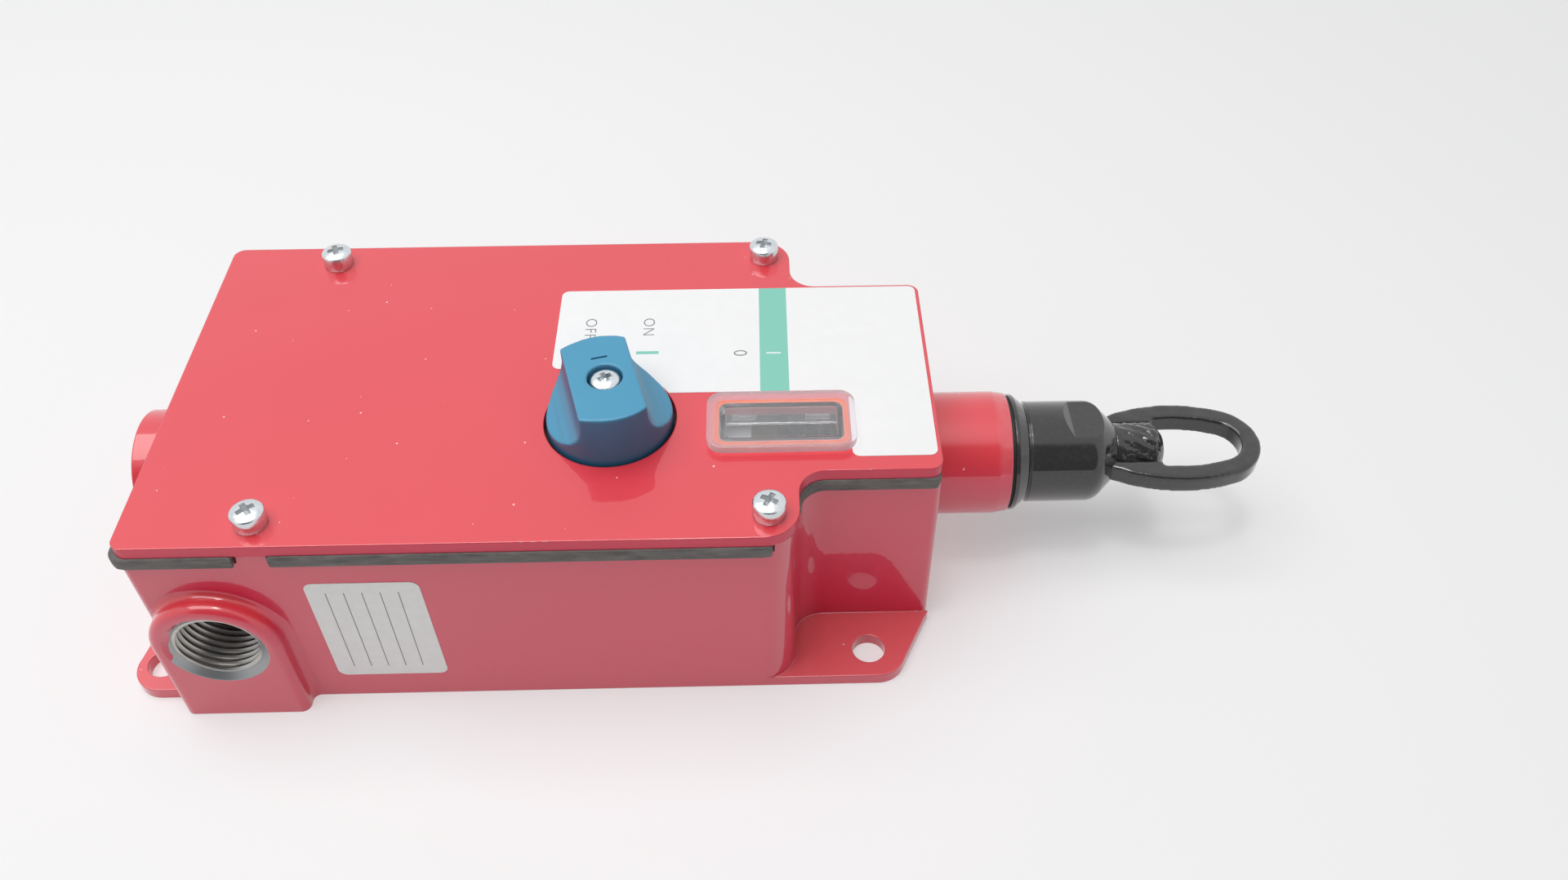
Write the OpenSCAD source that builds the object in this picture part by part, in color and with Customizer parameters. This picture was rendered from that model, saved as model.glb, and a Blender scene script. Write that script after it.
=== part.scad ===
// Rope pull safety switch: cast housing with a neck and three conduit entries,
// screwed cover with a reset knob and a rope tension window, and a sprung pull
// rod that ends in a rope eye.
// +X runs along the rope axis, +Z is up from the mounting plane, and the origin
// is the centre of the four mounting holes.

/* [Housing] */
// Length of the main box
body_l = 152.2; // [140:0.2:190]
// Width of the main box
body_w = 105.4; // [98:1:130]
// Height of the side walls above the mounting plane
body_h = 53; // [52:1:66]
// Length of the neck beyond the box
neck_l = 35.2; // [30:0.2:45]
// Width of the neck
neck_w = 65.6; // [58:1:78]
// Thickness of the side walls
wall = 4; // [3:0.5:5.5]
// Thickness of the floor
floor_t = 4; // [3:0.5:5]
// Corner radius at the conduit end
corner_l = 2; // [1.5:0.5:6]
// Corner radius beside the neck
corner_r = 7.5; // [4:0.5:10]
// Corner radius at the end of the neck
corner_n = 2; // [1.5:0.5:6]
// Fillet between the box and the neck
notch_r = 7.5; // [4:0.5:9]

/* [Mounting ears] */
// Thickness of the ears
ear_t = 3.4; // [2:0.2:5]
// Distance of the hole centres beyond the conduit end
ear_out_l = 8.4; // [8:0.1:12]
// Distance of the hole centres beyond the box, beside the neck
ear_out_r = 19; // [17:0.1:20]
// Distance of the hole centres from the outside of the walls
ear_in = 8.2; // [7.4:0.1:9]
// Radius of the mounting holes
ear_hole_r = 4.2; // [3:0.1:4.6]
// Rounding radius of the ears
ear_r = 7.4; // [6:0.2:8]
// Distance the ears reach beyond the conduit end
ear_end_l = 15; // [14.6:0.2:20]
// Distance the ears beside the neck reach beyond the box
ear_end_r = 28.4; // [26:0.2:30]

/* [Conduit entries] */
// Wall radius of the conduit bores
conduit_r = 10.3; // [8:0.1:11.5]
// Mouth radius of the chamfer
conduit_mouth_r = 12.2; // [10.6:0.1:13]
// Radius of the side bosses
boss_r = 15.4; // [13:0.1:16]
// Distance from the conduit end to the centre of the side bosses
boss_x = 15.2; // [14:0.1:20]
// Height of the conduit axes in the side bosses
boss_z = 26.6; // [24:0.2:30]
// Distance the side bosses stand out of the wall
boss_out = 5; // [3:0.5:8]
// Distance the side bosses reach in from the wall
boss_in = 5; // [2:0.5:6]
// Radius of the fillet round the side bosses
boss_fillet = 1.8; // [0.8:0.2:3]
// Rounding of the front edge of the side bosses
boss_edge = 2.2; // [0.6:0.2:2.6]
// Radius of the end hub
hub_r = 15.3; // [14:0.1:17]
// Length of the end hub
hub_l = 14.8; // [10:0.2:20]

/* [Cover] */
// Thickness of the cover plate
cover_t = 3.2; // [2.5:0.1:4]
// Distance the cover stands over the walls
cover_over = 0.9; // [0.4:0.1:2]
// Distance the cover stands back from the walls at its two ends
cover_back = 0.3; // [0:0.1:1]
// Height of the gasket
gasket_h = 3.2; // [2:0.1:4]
// Distance the gasket bulges beyond the walls
gasket_over = 1.5; // [0.6:0.1:2.4]
// Distance from the conduit end to the first pair of cover screws
screw_x1 = 30.2; // [25:0.1:40]
// Distance from the box end to the second pair of cover screws
screw_x2 = 6; // [6:0.1:12]
// Distance of the cover screws from the outside of the wall
screw_in = 6.1; // [5.8:0.1:8]
// Radius of the cover screw heads
head_r = 3.85; // [3:0.05:4.5]
// Height of the cover screw heads
head_h = 4.1; // [2.5:0.1:4.5]
// Radius of the cover screw shanks
shank_r = 2.35; // [1.8:0.05:2.6]

/* [Pull line] */
// Height of the rope axis
axis_z = 29.2; // [28:0.2:33]
// Radius of the pull rod
shaft_r = 6; // [5:0.1:6.5]
// Full travel of the pull rod
travel = 18; // [12:1:18]
// Radius of the snout
snout_r = 16.25; // [15.5:0.25:18]
// Length of the snout
snout_l = 21.5; // [20:0.1:30]
// Radius of the spring chamber in the snout
chamber_r = 12.9; // [12.2:0.1:13.5]
// Thickness of the end wall of the snout
lip_t = 8; // [6.5:0.5:9]
// Outer radius of the guide bush
bush_r = 9; // [7.8:0.1:10]
// Radius of the black sleeve
sleeve_r = 13.4; // [12:0.1:14.5]
// Radius of the flange of the sleeve
flange_r = 15.4; // [14.5:0.1:16]
// Length of the cone behind the flange
cone_l = 3.1; // [2:0.1:5]
// Length of the sleeve's straight part
sleeve_l = 15.7; // [13:0.1:24]
// Radius of the sleeve at the end of its nose
nose_r = 7.9; // [7:0.1:9]
// Rounding between the barrel and the nose
nose_round = 5; // [3:0.5:8]
// Distance of the wrench flats from the axis
flat_h = 11.6; // [10.5:0.1:13]
// Length of the wrench flats on the straight part
flat_l = 4.5; // [3:0.5:9]
// Radius of the stud of the eye where it screws into the sleeve
stud_r = 5.4; // [4.5:0.1:5.8]
// Radius of the stud of the eye outside the sleeve
stem_r = 7.2; // [6:0.1:7.6]
// Half length of the eye ring's oval
eye_a = 22.1; // [20:0.1:28]
// Half width of the eye ring
eye_b = 13.8; // [12:0.2:15]
// Width of the bar of the eye ring
eye_bar = 5; // [3.5:0.1:5.2]
// Thickness of the eye ring
eye_t = 4; // [3:0.1:6]
// Length of the stud beyond the sleeve
stud_out = 14.3; // [10:0.1:16]
// Radius of the spring wire
wire_r = 1.4; // [1:0.05:1.5]
// Mean radius of the spring
coil_r = 9.8; // [9.2:0.1:10.2]
// Number of turns of the spring
coil_n = 8; // [6:0.5:9]

/* [Reset knob] */
// Distance from the conduit end to the knob's centre
knob_x = 108.3; // [104:0.1:110]
// Distance of the knob's centre from the rope axis
knob_y = 15.4; // [15:0.2:18]
// Radius of the knob at the cover
knob_r = 15.2; // [14:0.1:16.5]
// Gap between the knob and the hole in the cover
knob_gap = 0.8; // [0.4:0.1:1.2]
// Height of the knob above the cover
knob_h = 14; // [11:0.5:18]
// Width of the grip bar
grip_w = 15.4; // [12:0.2:18]
// Angle of the grip bar from across the housing
grip_a = 15; // [0:1:30]
// Radius of the scoops beside the grip bar
scoop_r = 8; // [4:0.5:9]
// Radius of the reset spindle
spindle_r = 4.5; // [3.5:0.1:4.8]
// Throw of the crank pin
crank_e = 4.2; // [3.4:0.1:4.6]

/* [Window] */
// Length of the window's flange
lens_l = 35.7; // [30:0.1:38]
// Width of the window's flange
lens_w = 18.9; // [16:0.1:20]
// Height of the flange above the cover
lens_h = 2.5; // [1.5:0.1:3.5]
// Distance from the conduit end to the window's centre
lens_x = 149.5; // [147:0.1:152]
// Distance of the window's centre from the rope axis
lens_y = 18.7; // [17.5:0.1:20]
// Width of the flange's rim round the recess
lens_rim = 3.1; // [2.4:0.1:4]

/* [Mechanism] */
// Half width of the cam at its rear end
cam_b = 12.3; // [11.5:0.1:12.6]
// Rise of the cam's ramps per unit of length
cam_slope = 0.166667; // [0.12:0.01:0.18]
// Height of the cam
cam_h = 18; // [16:0.5:20]
// Distance from the conduit end to the switch plungers
plunger_x = 132.2; // [131:0.1:133]
// Radius of the switch plungers
plunger_r = 2.5; // [2:0.1:3]
// Length of the switch bodies
switch_l = 23.5; // [20:0.5:25]
// Height of the switch bodies
switch_h = 32; // [28:1:33]
// Thickness of the mechanism plate
plate_t = 2.5; // [2:0.25:3]

/* [Clearances] */
// Radial clearance of running fits
run_gap = 0.05; // [0.03:0.01:0.09]
// Gap between parts that only stand close
air_gap = 0.3; // [0.2:0.05:0.5]
// Gap round cover screws and the window's recess
loose_gap = 0.35; // [0.2:0.05:0.5]

/* [Hidden] */
$fn = 48;

// Stations along X
xl = -(body_l / 2 + (ear_out_r - ear_out_l) / 2);
xr = xl + body_l;
xn = xr + neck_l;
xs = xn + snout_l;
half_w = body_w / 2;
// Mounting holes and the rounded corners of the ears, for y > 0
hole_l = [xl - ear_out_l, half_w - ear_in];
hole_r = [xr + ear_out_r, half_w - ear_in];
ear_c_l = [xl - ear_end_l + ear_r, half_w - ear_r];
ear_c_r = [xr + ear_end_r - ear_r, half_w - ear_r];
// Levels
z_pad = body_h + gasket_h;
z_top = z_pad + cover_t;
// Cover screws: x, y and the sign of y
screw_at = [
    [xl + screw_x1, -(half_w - screw_in)], [xr - screw_x2, -(half_w - screw_in)],
    [xl + screw_x1, half_w - screw_in], [xr - screw_x2, half_w - screw_in]
];
boss_col = 8.6;
pad_r = 4.9;
// Pull line: the bush, the spring and the cam follow from the snout's end
lip_x = xs - lip_t;
bush_flange = 2;
spring_x1 = lip_x - bush_flange - air_gap;
cam_x1 = xr - 3.4;
collar_t = 2.7;
collar_r = 11.5;
spring_x0 = cam_x1 + collar_t + air_gap;
cam_x0 = xl + plunger_x - travel - 1;
pin_x = cam_x1 - 24;
tab_t = 3;
tab_x = xl + knob_x - 13.6;
tab_y = 9.5;
shaft_x0 = tab_x - travel - 2;
seal_t = 1;
sleeve_x = xs + seal_t;
flange_t = 1;
barrel_x = sleeve_x + flange_t + cone_l + 0.4;
nose_x = barrel_x + sleeve_l;
// The nose: an arc down to 45 degrees, then a cone
nose_arc_l = nose_round * sin(45);
nose_arc_r = sleeve_r - nose_round * (1 - cos(45));
nose_l = nose_arc_l + nose_arc_r - nose_r;
sleeve_end = nose_x + nose_l;
shaft_x1 = nose_x - 4;
// The oval of the ring starts inside the nose and is cut off flush with it
eye_in = 4.6;
eye_x = sleeve_end - eye_in + eye_a;
stud_end = sleeve_end + stud_out;
// Mechanism levels
plate_z = floor_t + 3;
plate_top = plate_z + plate_t;
bolt_z = axis_z - 7.2;
bolt_t = 3;
slot_gap = 0.12;
cam_z0 = axis_z - cam_h / 2;
kx = xl + knob_x;
crank_a = 22.5;
crank_pin_r = 1.9;
crank_z0 = bolt_z + bolt_t + 2.5;
crank_t = 3.5;
spindle_z0 = crank_z0 + crank_t;
// Half width of the cam at station x
function cam_half(x) = cam_b - (x - cam_x0) * cam_slope;
ramp = atan(cam_slope);
px = xl + plunger_x;
plunger_y = cam_half(px) + (plunger_r + air_gap) / cos(ramp);
switch_y0 = cam_b + 7.2;
switch_w = 17.8;
switch_x0 = px - 8;
plunger_in = plunger_y + 13;
knob_z0 = z_pad + air_gap;
knob_top = z_top + knob_h;
spindle_top = knob_top - 7.5;
bush_plate = 3.2;
bush_low = 12;

// Sharp part of a corner at p that a radius r takes away; s points into the shape
module corner(p, s, r) {
    difference() {
        translate([s[0] > 0 ? p[0] - 1 : p[0] - r, s[1] > 0 ? p[1] - 1 : p[1] - r])
            square(r + 1);
        translate([p[0] + s[0] * r, p[1] + s[1] * r]) circle(r);
    }
}

// Outline of the housing, grown by d, and by e at its two ends
module plan(d, e = undef) {
    end = is_undef(e) ? d : e;
    x0 = xl - end;
    x1 = xr + d;
    x2 = xn + end;
    y1 = half_w + d;
    y2 = neck_w / 2 + d;
    rf = max(notch_r - d, 1);
    difference() {
        union() {
            translate([x0, -y1]) square([x1 - x0, 2 * y1]);
            translate([x0 + 20, -y2]) square([x2 - x0 - 20, 2 * y2]);
            for (s = [-1, 1]) difference() {
                translate([x1 - 1, s > 0 ? y2 - 1 : -y2 - rf]) square(rf + 1);
                translate([x1 + rf, s * (y2 + rf)]) circle(rf);
            }
        }
        for (s = [-1, 1]) {
            corner([x0, s * y1], [1, -s], max(corner_l + d, 1));
            corner([x1, s * y1], [-1, -s], max(corner_r + d, 1));
            corner([x2, s * y2], [-1, -s], max(corner_n + d, 1));
        }
    }
}

// Rounded rectangle from a to b
module rounded(a, b, r) {
    difference() {
        translate(a) square([b[0] - a[0], b[1] - a[1]]);
        corner(a, [1, 1], r);
        corner([b[0], a[1]], [-1, 1], r);
        corner(b, [-1, -1], r);
        corner([a[0], b[1]], [1, -1], r);
    }
}

// Cylinders along X and along Y
module rod_x(x0, x1, r, y = 0, z = axis_z) {
    translate([x0, y, z]) rotate([0, 90, 0]) cylinder(h = x1 - x0, r = r);
}
module rod_y(y0, y1, r, x, z) {
    translate([x, y0, z]) rotate([-90, 0, 0]) cylinder(h = y1 - y0, r = r);
}

// Point where the line from p touches the circle of radius r round c
function touch(c, r, p, s) = let (v = p - c, a = atan2(v[1], v[0]) + s * acos(r / norm(v)))
    [c[0] + r * cos(a), c[1] + r * sin(a)];

// Mounting ear for y > 0: rounded corner at c, drawn in to p and the points w
module ear(c, p, s, w) {
    linear_extrude(ear_t) union() {
        translate(c) circle(ear_r);
        polygon(concat([[c[0], half_w], c, touch(c, ear_r - 0.05, p, s), p], w));
    }
}

// Arch-shaped conduit boss on the wall at y < 0
module side_boss() {
    translate([xl + boss_x, -half_w, 0]) {
        arch() boss_plan();
        // the fillet ends where the corner of the box begins
        intersection() {
            arch() foot_plan();
            translate([corner_l - boss_x, -9, -1]) cube([60, 12, 80]);
        }
    }
}
// A half plan drawn for x > 0, extruded up to the bore's axis and turned over it
module arch() {
    linear_extrude(boss_z) union() {
        children();
        mirror([1, 0]) children();
    }
    intersection() {
        translate([0, 0, boss_z]) rotate([90, 0, 0]) rotate_extrude() mirror([0, 1]) children();
        translate([-40, -20, boss_z]) cube([80, 40, 40]);
    }
}
module boss_plan() {
    difference() {
        translate([0, -boss_out]) square([boss_r, boss_out + corner_l + 0.5]);
        corner([boss_r, -boss_out], [-1, 1], boss_edge);
    }
}
// Concave fillet between the boss and the wall
module foot_plan() {
    difference() {
        translate([boss_r - 1, -boss_fillet]) square([boss_fillet + 1, boss_fillet + 1]);
        translate([boss_r + boss_fillet, -boss_fillet]) circle(boss_fillet);
    }
}

// Raised land beside a cover screw, out to the wall
module land(i, d) {
    p = screw_at[i];
    s = sign(p[1]);
    right = i % 2;
    intersection() {
        union() {
            translate(p) circle(pad_r + d);
            if (right) {
                translate([p[0] + 1 - d, s > 0 ? p[1] : -half_w - 4]) square([20, half_w + 4 - abs(p[1])]);
                translate([p[0], s > 0 ? p[1] - pad_r - d : p[1] - 4])
                    square([20, pad_r + d + 4]);
            } else {
                translate([p[0] - 3.5 - d, s > 0 ? p[1] : -half_w - 4])
                    square([7 + 2 * d, half_w + 4 - abs(p[1])]);
            }
        }
        plan(0.01 + (d > 0 ? 3 : 0));
    }
}

module housing() {
    color("#c8202f") difference() {
        union() {
            difference() {
                union() {
                    linear_extrude(body_h) plan(0);
                    side_boss();
                    mirror([0, 1, 0]) side_boss();
                    rod_x(xl - hub_l, xl + 2, hub_r);
                    rod_x(xn - 2, xs - snout_taper_l, snout_r);
                    translate([xs - snout_taper_l, 0, axis_z]) rotate([0, 90, 0])
                        cylinder(h = snout_taper_l, r1 = snout_r, r2 = snout_r - 0.5);
                    // ears at the conduit end and beside the neck
                    for (s = [0, 1]) mirror([0, s]) {
                        ear(ear_c_l, [xl - 11.4, 26], -1, [[xl + 4, 24], [xl + 8, half_w]]);
                        ear(ear_c_r, [xn + 0.2, neck_w / 2], 1,
                            [[xn - 6, neck_w / 2 - 1], [xr - 10, neck_w / 2 - 1], [xr - 10, half_w]]);
                    }
                }
                translate([0, 0, floor_t]) linear_extrude(body_h) plan(-wall);
            }
            // columns for the cover screws, with lands up to the cover
            intersection() {
                union() for (p = screw_at) translate(p) cylinder(h = body_h, r = boss_col);
                linear_extrude(body_h) plan(-0.5);
            }
            for (i = [0:3]) translate([0, 0, body_h - 1]) linear_extrude(gasket_h + 1) land(i, 0);
            // inner ends of the side bosses
            for (s = [-1, 1]) rod_y(s > 0 ? half_w - wall - boss_in : -half_w + 1,
                s > 0 ? half_w - 1 : -half_w + wall + boss_in, boss_r - 1.5, xl + boss_x, boss_z);
            // posts for the mechanism plate and the earth screw
            for (p = post_at) translate([p[0], p[1], floor_t - 1]) cylinder(h = plate_z - floor_t + 1, r = 5);
            translate([xl + 46, 0, floor_t - 1]) cylinder(h = 7, r = 5.5);
        }
        // conduit bores
        for (s = [-1, 1]) {
            rod_y(s > 0 ? half_w - wall - boss_in - 1 : -half_w - boss_out - 1,
                s > 0 ? half_w + boss_out + 1 : -half_w + wall + boss_in + 1, conduit_r, xl + boss_x, boss_z);
            translate([xl + boss_x, s * (half_w + boss_out), boss_z]) rotate([90 * s, 0, 0])
                cylinder(h = chamfer_h, r1 = conduit_mouth_r, r2 = conduit_r);
        }
        rod_x(xl - hub_l - 1, xl + wall + 1, conduit_r);
        translate([xl - hub_l, 0, axis_z]) rotate([0, 90, 0])
            cylinder(h = chamfer_h, r1 = conduit_mouth_r, r2 = conduit_r);
        // spring chamber and bush seat
        rod_x(xn - wall - 3, lip_x, chamber_r);
        rod_x(lip_x - 1, xs + 1, bush_r + run_gap);
        // holes
        for (p = screw_at) translate([p[0], p[1], z_pad - 16]) cylinder(h = 20, r = shank_r + run_gap);
        for (p = post_at) translate([p[0], p[1], floor_t - 1]) cylinder(h = 20, r = 1.6);
        translate([xl + 46, 0, floor_t - 1]) cylinder(h = 20, r = 2.05);
        for (s = [-1, 1], h = [hole_l, hole_r])
            translate([h[0], s * h[1], -1]) cylinder(h = ear_t + 2, r = ear_hole_r);
    }
}
chamfer_h = 1.4;
snout_taper_l = 3.2;
post_at = [
    [tab_x - 4, -40], [tab_x - 4, 40], [switch_x0 + switch_l - 10, -12], [switch_x0 + switch_l - 10, 12]
];

// Outline of the recess of the window, grown by d
module recess(d) {
    a = [xl + lens_x - lens_l / 2 + lens_rim - d, -lens_y - lens_w / 2 + lens_rim - d];
    b = [xl + lens_x + lens_l / 2 - lens_rim + d, -lens_y + lens_w / 2 - lens_rim + d];
    rounded(a, b, max(2 + d, 0.5));
}

module cover() {
    color("#d02335") difference() {
        translate([0, 0, z_pad]) linear_extrude(cover_t) difference() {
            plan(cover_over, -cover_back);
            recess(loose_gap);
            translate([kx, -knob_y]) circle(knob_r + knob_gap);
            for (p = screw_at) translate(p) circle(shank_r + loose_gap);
        }
        // tapped holes for the bush, blind from below
        for (p = bush_hole_at) translate([p[0], p[1], z_pad - 1]) cylinder(h = 3.2, r = 1.3 + run_gap);
    }
}

module cover_gasket() {
    color("#3b3c3e") translate([0, 0, body_h]) linear_extrude(gasket_h) difference() {
        union() {
            difference() {
                plan(gasket_over);
                plan(-wall + 0.3);
            }
            intersection() {
                union() for (p = screw_at) translate(p) circle(boss_col - 0.2);
                plan(-0.5);
            }
        }
        for (i = [0:3]) land(i, air_gap);
    }
}

module cover_screws() {
    color("silver") for (p = screw_at) translate([p[0], p[1], z_top]) {
        difference() {
            union() {
                cylinder(h = head_h, r = head_r);
                // domed crown of the fillister head
                intersection() {
                    translate([0, 0, head_h - 7.2]) sphere(r = 8.2);
                    translate([0, 0, head_h - 0.01]) cylinder(h = 2, r = head_r);
                }
            }
            translate([-2.6, -0.5, head_h - 0.9]) cube([5.2, 1, 3]);
            translate([-0.5, -2.6, head_h - 0.9]) cube([1, 5.2, 3]);
        }
        translate([0, 0, -16]) cylinder(h = 16, r = shank_r);
    }
}

module window_lens() {
    a = [xl + lens_x - lens_l / 2, -lens_y - lens_w / 2];
    b = [xl + lens_x + lens_l / 2, -lens_y + lens_w / 2];
    color("#dfe8ea") {
        difference() {
            union() {
                translate([0, 0, z_top + 0.6]) linear_extrude(lens_h - 0.6) rounded(a, b, 4);
                translate([0, 0, z_pad - 2.4]) linear_extrude(cover_t + 3) recess(0);
                // snap tabs under the cover
                for (dx = [-9, 9]) translate([xl + lens_x + dx - 3, -lens_y - lens_w / 2 + lens_rim - 0.8, z_pad - 1.6])
                    cube([6, lens_w - 2 * lens_rim + 1.6, 1.3]);
            }
            translate([0, 0, z_pad - 3]) linear_extrude(cover_t + 3.4) recess(-1.3);
        }
    }
}

module lens_seal() {
    a = [xl + lens_x - lens_l / 2 + 0.8, -lens_y - lens_w / 2 + 0.8];
    b = [xl + lens_x + lens_l / 2 - 0.8, -lens_y + lens_w / 2 - 0.8];
    color("#d9533b") translate([0, 0, z_top]) linear_extrude(0.6) difference() {
        rounded(a, b, 3.2);
        recess(0.1);
    }
}

bush_hole_r = knob_r + 3.4;
bush_hole_at = [for (a = [60, 180, 300]) [kx + bush_hole_r * cos(a), -knob_y + bush_hole_r * sin(a)]];

module knob_bush() {
    color("#2b2d30") translate([0, 0, 0]) difference() {
        translate([kx, -knob_y, 0]) union() {
            translate([0, 0, z_pad - bush_plate]) cylinder(h = bush_plate, r = knob_r + 5.8);
            translate([0, 0, z_pad - bush_low]) cylinder(h = bush_low, r = 9);
        }
        translate([kx, -knob_y, z_pad - bush_low - 1]) cylinder(h = bush_low + 2, r = spindle_r + run_gap);
        translate([kx, -knob_y, z_pad - 2.2]) cylinder(h = 3, r = spindle_r + 2.1);
        for (p = bush_hole_at) translate([p[0], p[1], z_pad - bush_plate - 1])
            cylinder(h = bush_plate + 2, r = 1.3 + loose_gap);
    }
}

module bush_screws() {
    color("silver") for (p = bush_hole_at) translate([p[0], p[1], z_pad - bush_plate]) {
        translate([0, 0, -1.6]) difference() {
            cylinder(h = 1.6, r = 2.3);
            translate([-1.4, -0.3, -0.6]) cube([2.8, 0.6, 1.2]);
        }
        cylinder(h = bush_plate + 2, r = 1.3);
    }
}

module spindle_seal() {
    color("#1c1c1e") translate([kx, -knob_y, z_pad - 1.25]) rotate_extrude()
        translate([spindle_r + 0.08 + 0.9, 0]) circle(0.9);
}

module guide_bush() {
    color("#b08d57") difference() {
        union() {
            rod_x(lip_x, xs - 3.6, bush_r);
            rod_x(lip_x - bush_flange, lip_x, chamber_r - 1.2);
        }
        rod_x(lip_x - bush_flange - 1, xs, shaft_r + run_gap);
    }
}

module wiper_ring() {
    color("#232325") translate([xs - 3.4, 0, axis_z]) rotate([0, 90, 0]) rotate_extrude()
        polygon([[shaft_r + 0.9, 0], [bush_r, 0], [bush_r, 3.2], [shaft_r + 1.4, 3.2],
                 [shaft_r + 0.15, 2.2], [shaft_r + 0.15, 1.5]]);
}

plate_x1 = switch_x0 + switch_l;
module mech_plate() {
    color("#c9ccd0") difference() {
        union() {
            translate([0, 0, plate_z]) linear_extrude(plate_t)
                rounded([tab_x - 9, -half_w + wall + 2.2], [plate_x1, half_w - wall - 2.2], 5);
            // rear guide of the pull rod
            translate([tab_x, -tab_y, plate_z + 0.5]) cube([tab_t, 2 * tab_y, axis_z - plate_z - 0.5]);
            rod_x(tab_x, tab_x + tab_t, tab_y);
        }
        rod_x(tab_x - 1, tab_x + tab_t + 1, shaft_r + run_gap);
        for (p = post_at) translate([p[0], p[1], plate_z - 1]) cylinder(h = 6, r = 1.9);
        for (p = switch_hole_at) translate([p[0], p[1], plate_z - 1]) cylinder(h = 6, r = 1.9);
        for (p = guide_hole_at) translate([p[0], p[1], plate_z - 1]) cylinder(h = 6, r = 1.9);
        // clearance beside the housing's screw columns
        for (p = screw_at) translate([p[0], p[1], plate_z - 1]) cylinder(h = 6, r = boss_col + 0.8);
    }
}

module small_screw(l) {
    difference() {
        cylinder(h = 2, r = 2.9);
        translate([-1.8, -0.35, 1.2]) cube([3.6, 0.7, 2]);
        translate([-0.35, -1.8, 1.2]) cube([0.7, 3.6, 2]);
    }
    translate([0, 0, -l]) cylinder(h = l, r = 1.5);
}

module plate_screws() {
    color("silver") for (p = post_at) translate([p[0], p[1], plate_top]) small_screw(plate_t + 2.5);
}

guide_x0 = kx - 3.8;
guide_l = 16;
guide_y1 = -knob_y - 11.6;
guide_w = 7;
tail_x0 = guide_x0 + 3.9;
tail_w = 8.2;
guide_hole_at = [for (dx = [2, guide_l - 2]) [guide_x0 + dx, guide_y1 - guide_w / 2]];
module latch_guide() {
    color("#3a3d42") difference() {
        translate([guide_x0, guide_y1 - guide_w, plate_top]) cube([guide_l, guide_w, bolt_z + bolt_t + 3.5 - plate_top]);
        translate([tail_x0 - 0.1, guide_y1 - guide_w - 1, bolt_z - 0.1])
            cube([tail_w + 0.2, guide_w + 2, bolt_t + 0.2]);
        for (p = guide_hole_at) translate([p[0], p[1], plate_top - 1]) cylinder(h = 8, r = 1.2);
    }
}

switch_hole_at = [for (s = [-1, 1], dx = [4, switch_l - 4]) [switch_x0 + dx, s * (switch_y0 + switch_w - 5)]];
terminal_at = [for (s = [-1, 1], dx = [5, switch_l - 5], dy = [5, switch_w - 4.6]) [switch_x0 + dx, s * (switch_y0 + dy)]];
module switch_block(s) {
    difference() {
        union() {
            translate([switch_x0, s > 0 ? switch_y0 : -switch_y0 - switch_w, plate_top])
                cube([switch_l, switch_w, switch_h - 6]);
            // stepped terminal deck with its barriers
            translate([switch_x0, s > 0 ? switch_y0 + 1 : -switch_y0 - switch_w, plate_top + switch_h - 6])
                cube([switch_l, switch_w - 1, 3]);
            translate([switch_x0, s * (switch_y0 + (switch_w + 0.4) / 2) - 0.6, plate_top + switch_h - 3])
                cube([switch_l, 1.2, 3]);
            translate([switch_x0 + switch_l / 2 - 0.6, s > 0 ? switch_y0 + 1 : -switch_y0 - switch_w, plate_top + switch_h - 3])
                cube([1.2, switch_w - 1, 3]);
            // nose round the plunger
            rod_y(s > 0 ? switch_y0 - 2 : -switch_y0 - 1, s > 0 ? switch_y0 + 1 : -switch_y0 + 2, plunger_r + 2, px, axis_z);
        }
        rod_y(s > 0 ? switch_y0 - 3 : -switch_y0 - 14, s > 0 ? switch_y0 + 14 : -switch_y0 + 3,
            plunger_r + run_gap, px, axis_z);
        for (p = switch_hole_at) if (p[1] * s > 0) translate([p[0], p[1], plate_top - 1]) cylinder(h = 9, r = 1.2);
        for (p = terminal_at) if (p[1] * s > 0)
            translate([p[0], p[1], plate_top + switch_h - 12]) cylinder(h = 20, r = 1.7);
    }
}
module switch_near() { color("#26282b") switch_block(-1); }
module switch_far() { color("#26282b") switch_block(1); }

module switch_screws() {
    color("silver") {
        for (p = switch_hole_at) translate([p[0], p[1], plate_z]) rotate([180, 0, 0]) {
            cylinder(h = 1.4, r = 2.6);
            translate([0, 0, -plate_t - 6]) cylinder(h = plate_t + 6, r = 1.15);
        }
        for (p = guide_hole_at) translate([p[0], p[1], plate_z]) rotate([180, 0, 0]) {
            cylinder(h = 1.4, r = 2.6);
            translate([0, 0, -plate_t - 5]) cylinder(h = plate_t + 5, r = 1.15);
        }
    }
}

module terminal_screws() {
    color("#b9a26a") for (p = terminal_at) translate([p[0], p[1], plate_top + switch_h - 3]) {
        difference() {
            translate([-3, -3, 0]) cube([6, 6, 0.8]);
            cylinder(h = 3, r = 1.2, center = true);
        }
        translate([0, 0, 0.8]) difference() {
            cylinder(h = 1.8, r = 2.7);
            translate([-3, -0.35, 1]) cube([6, 0.7, 2]);
        }
        translate([0, 0, -6]) cylinder(h = 6.9, r = 1.15);
    }
}

module ground_screw() {
    color("#4f9b57") translate([xl + 46, 0, floor_t + 6]) {
        cylinder(h = 0.9, r = 5.2);
        translate([0, 0, 0.9]) difference() {
            cylinder(h = 2.8, r = 3.9, $fn = 6);
            translate([-4.5, -0.5, 1.8]) cube([9, 1, 2]);
        }
        translate([0, 0, -6.5]) cylinder(h = 6.6, r = 2);
    }
}

// Coil spring: a round wire swept along a helix whose end turns lie flat
spring_len = spring_x1 - spring_x0 - 2 * wire_r;
coil_steps = 22;
coil_sides = 8;
coil_total = coil_n * coil_steps;
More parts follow.
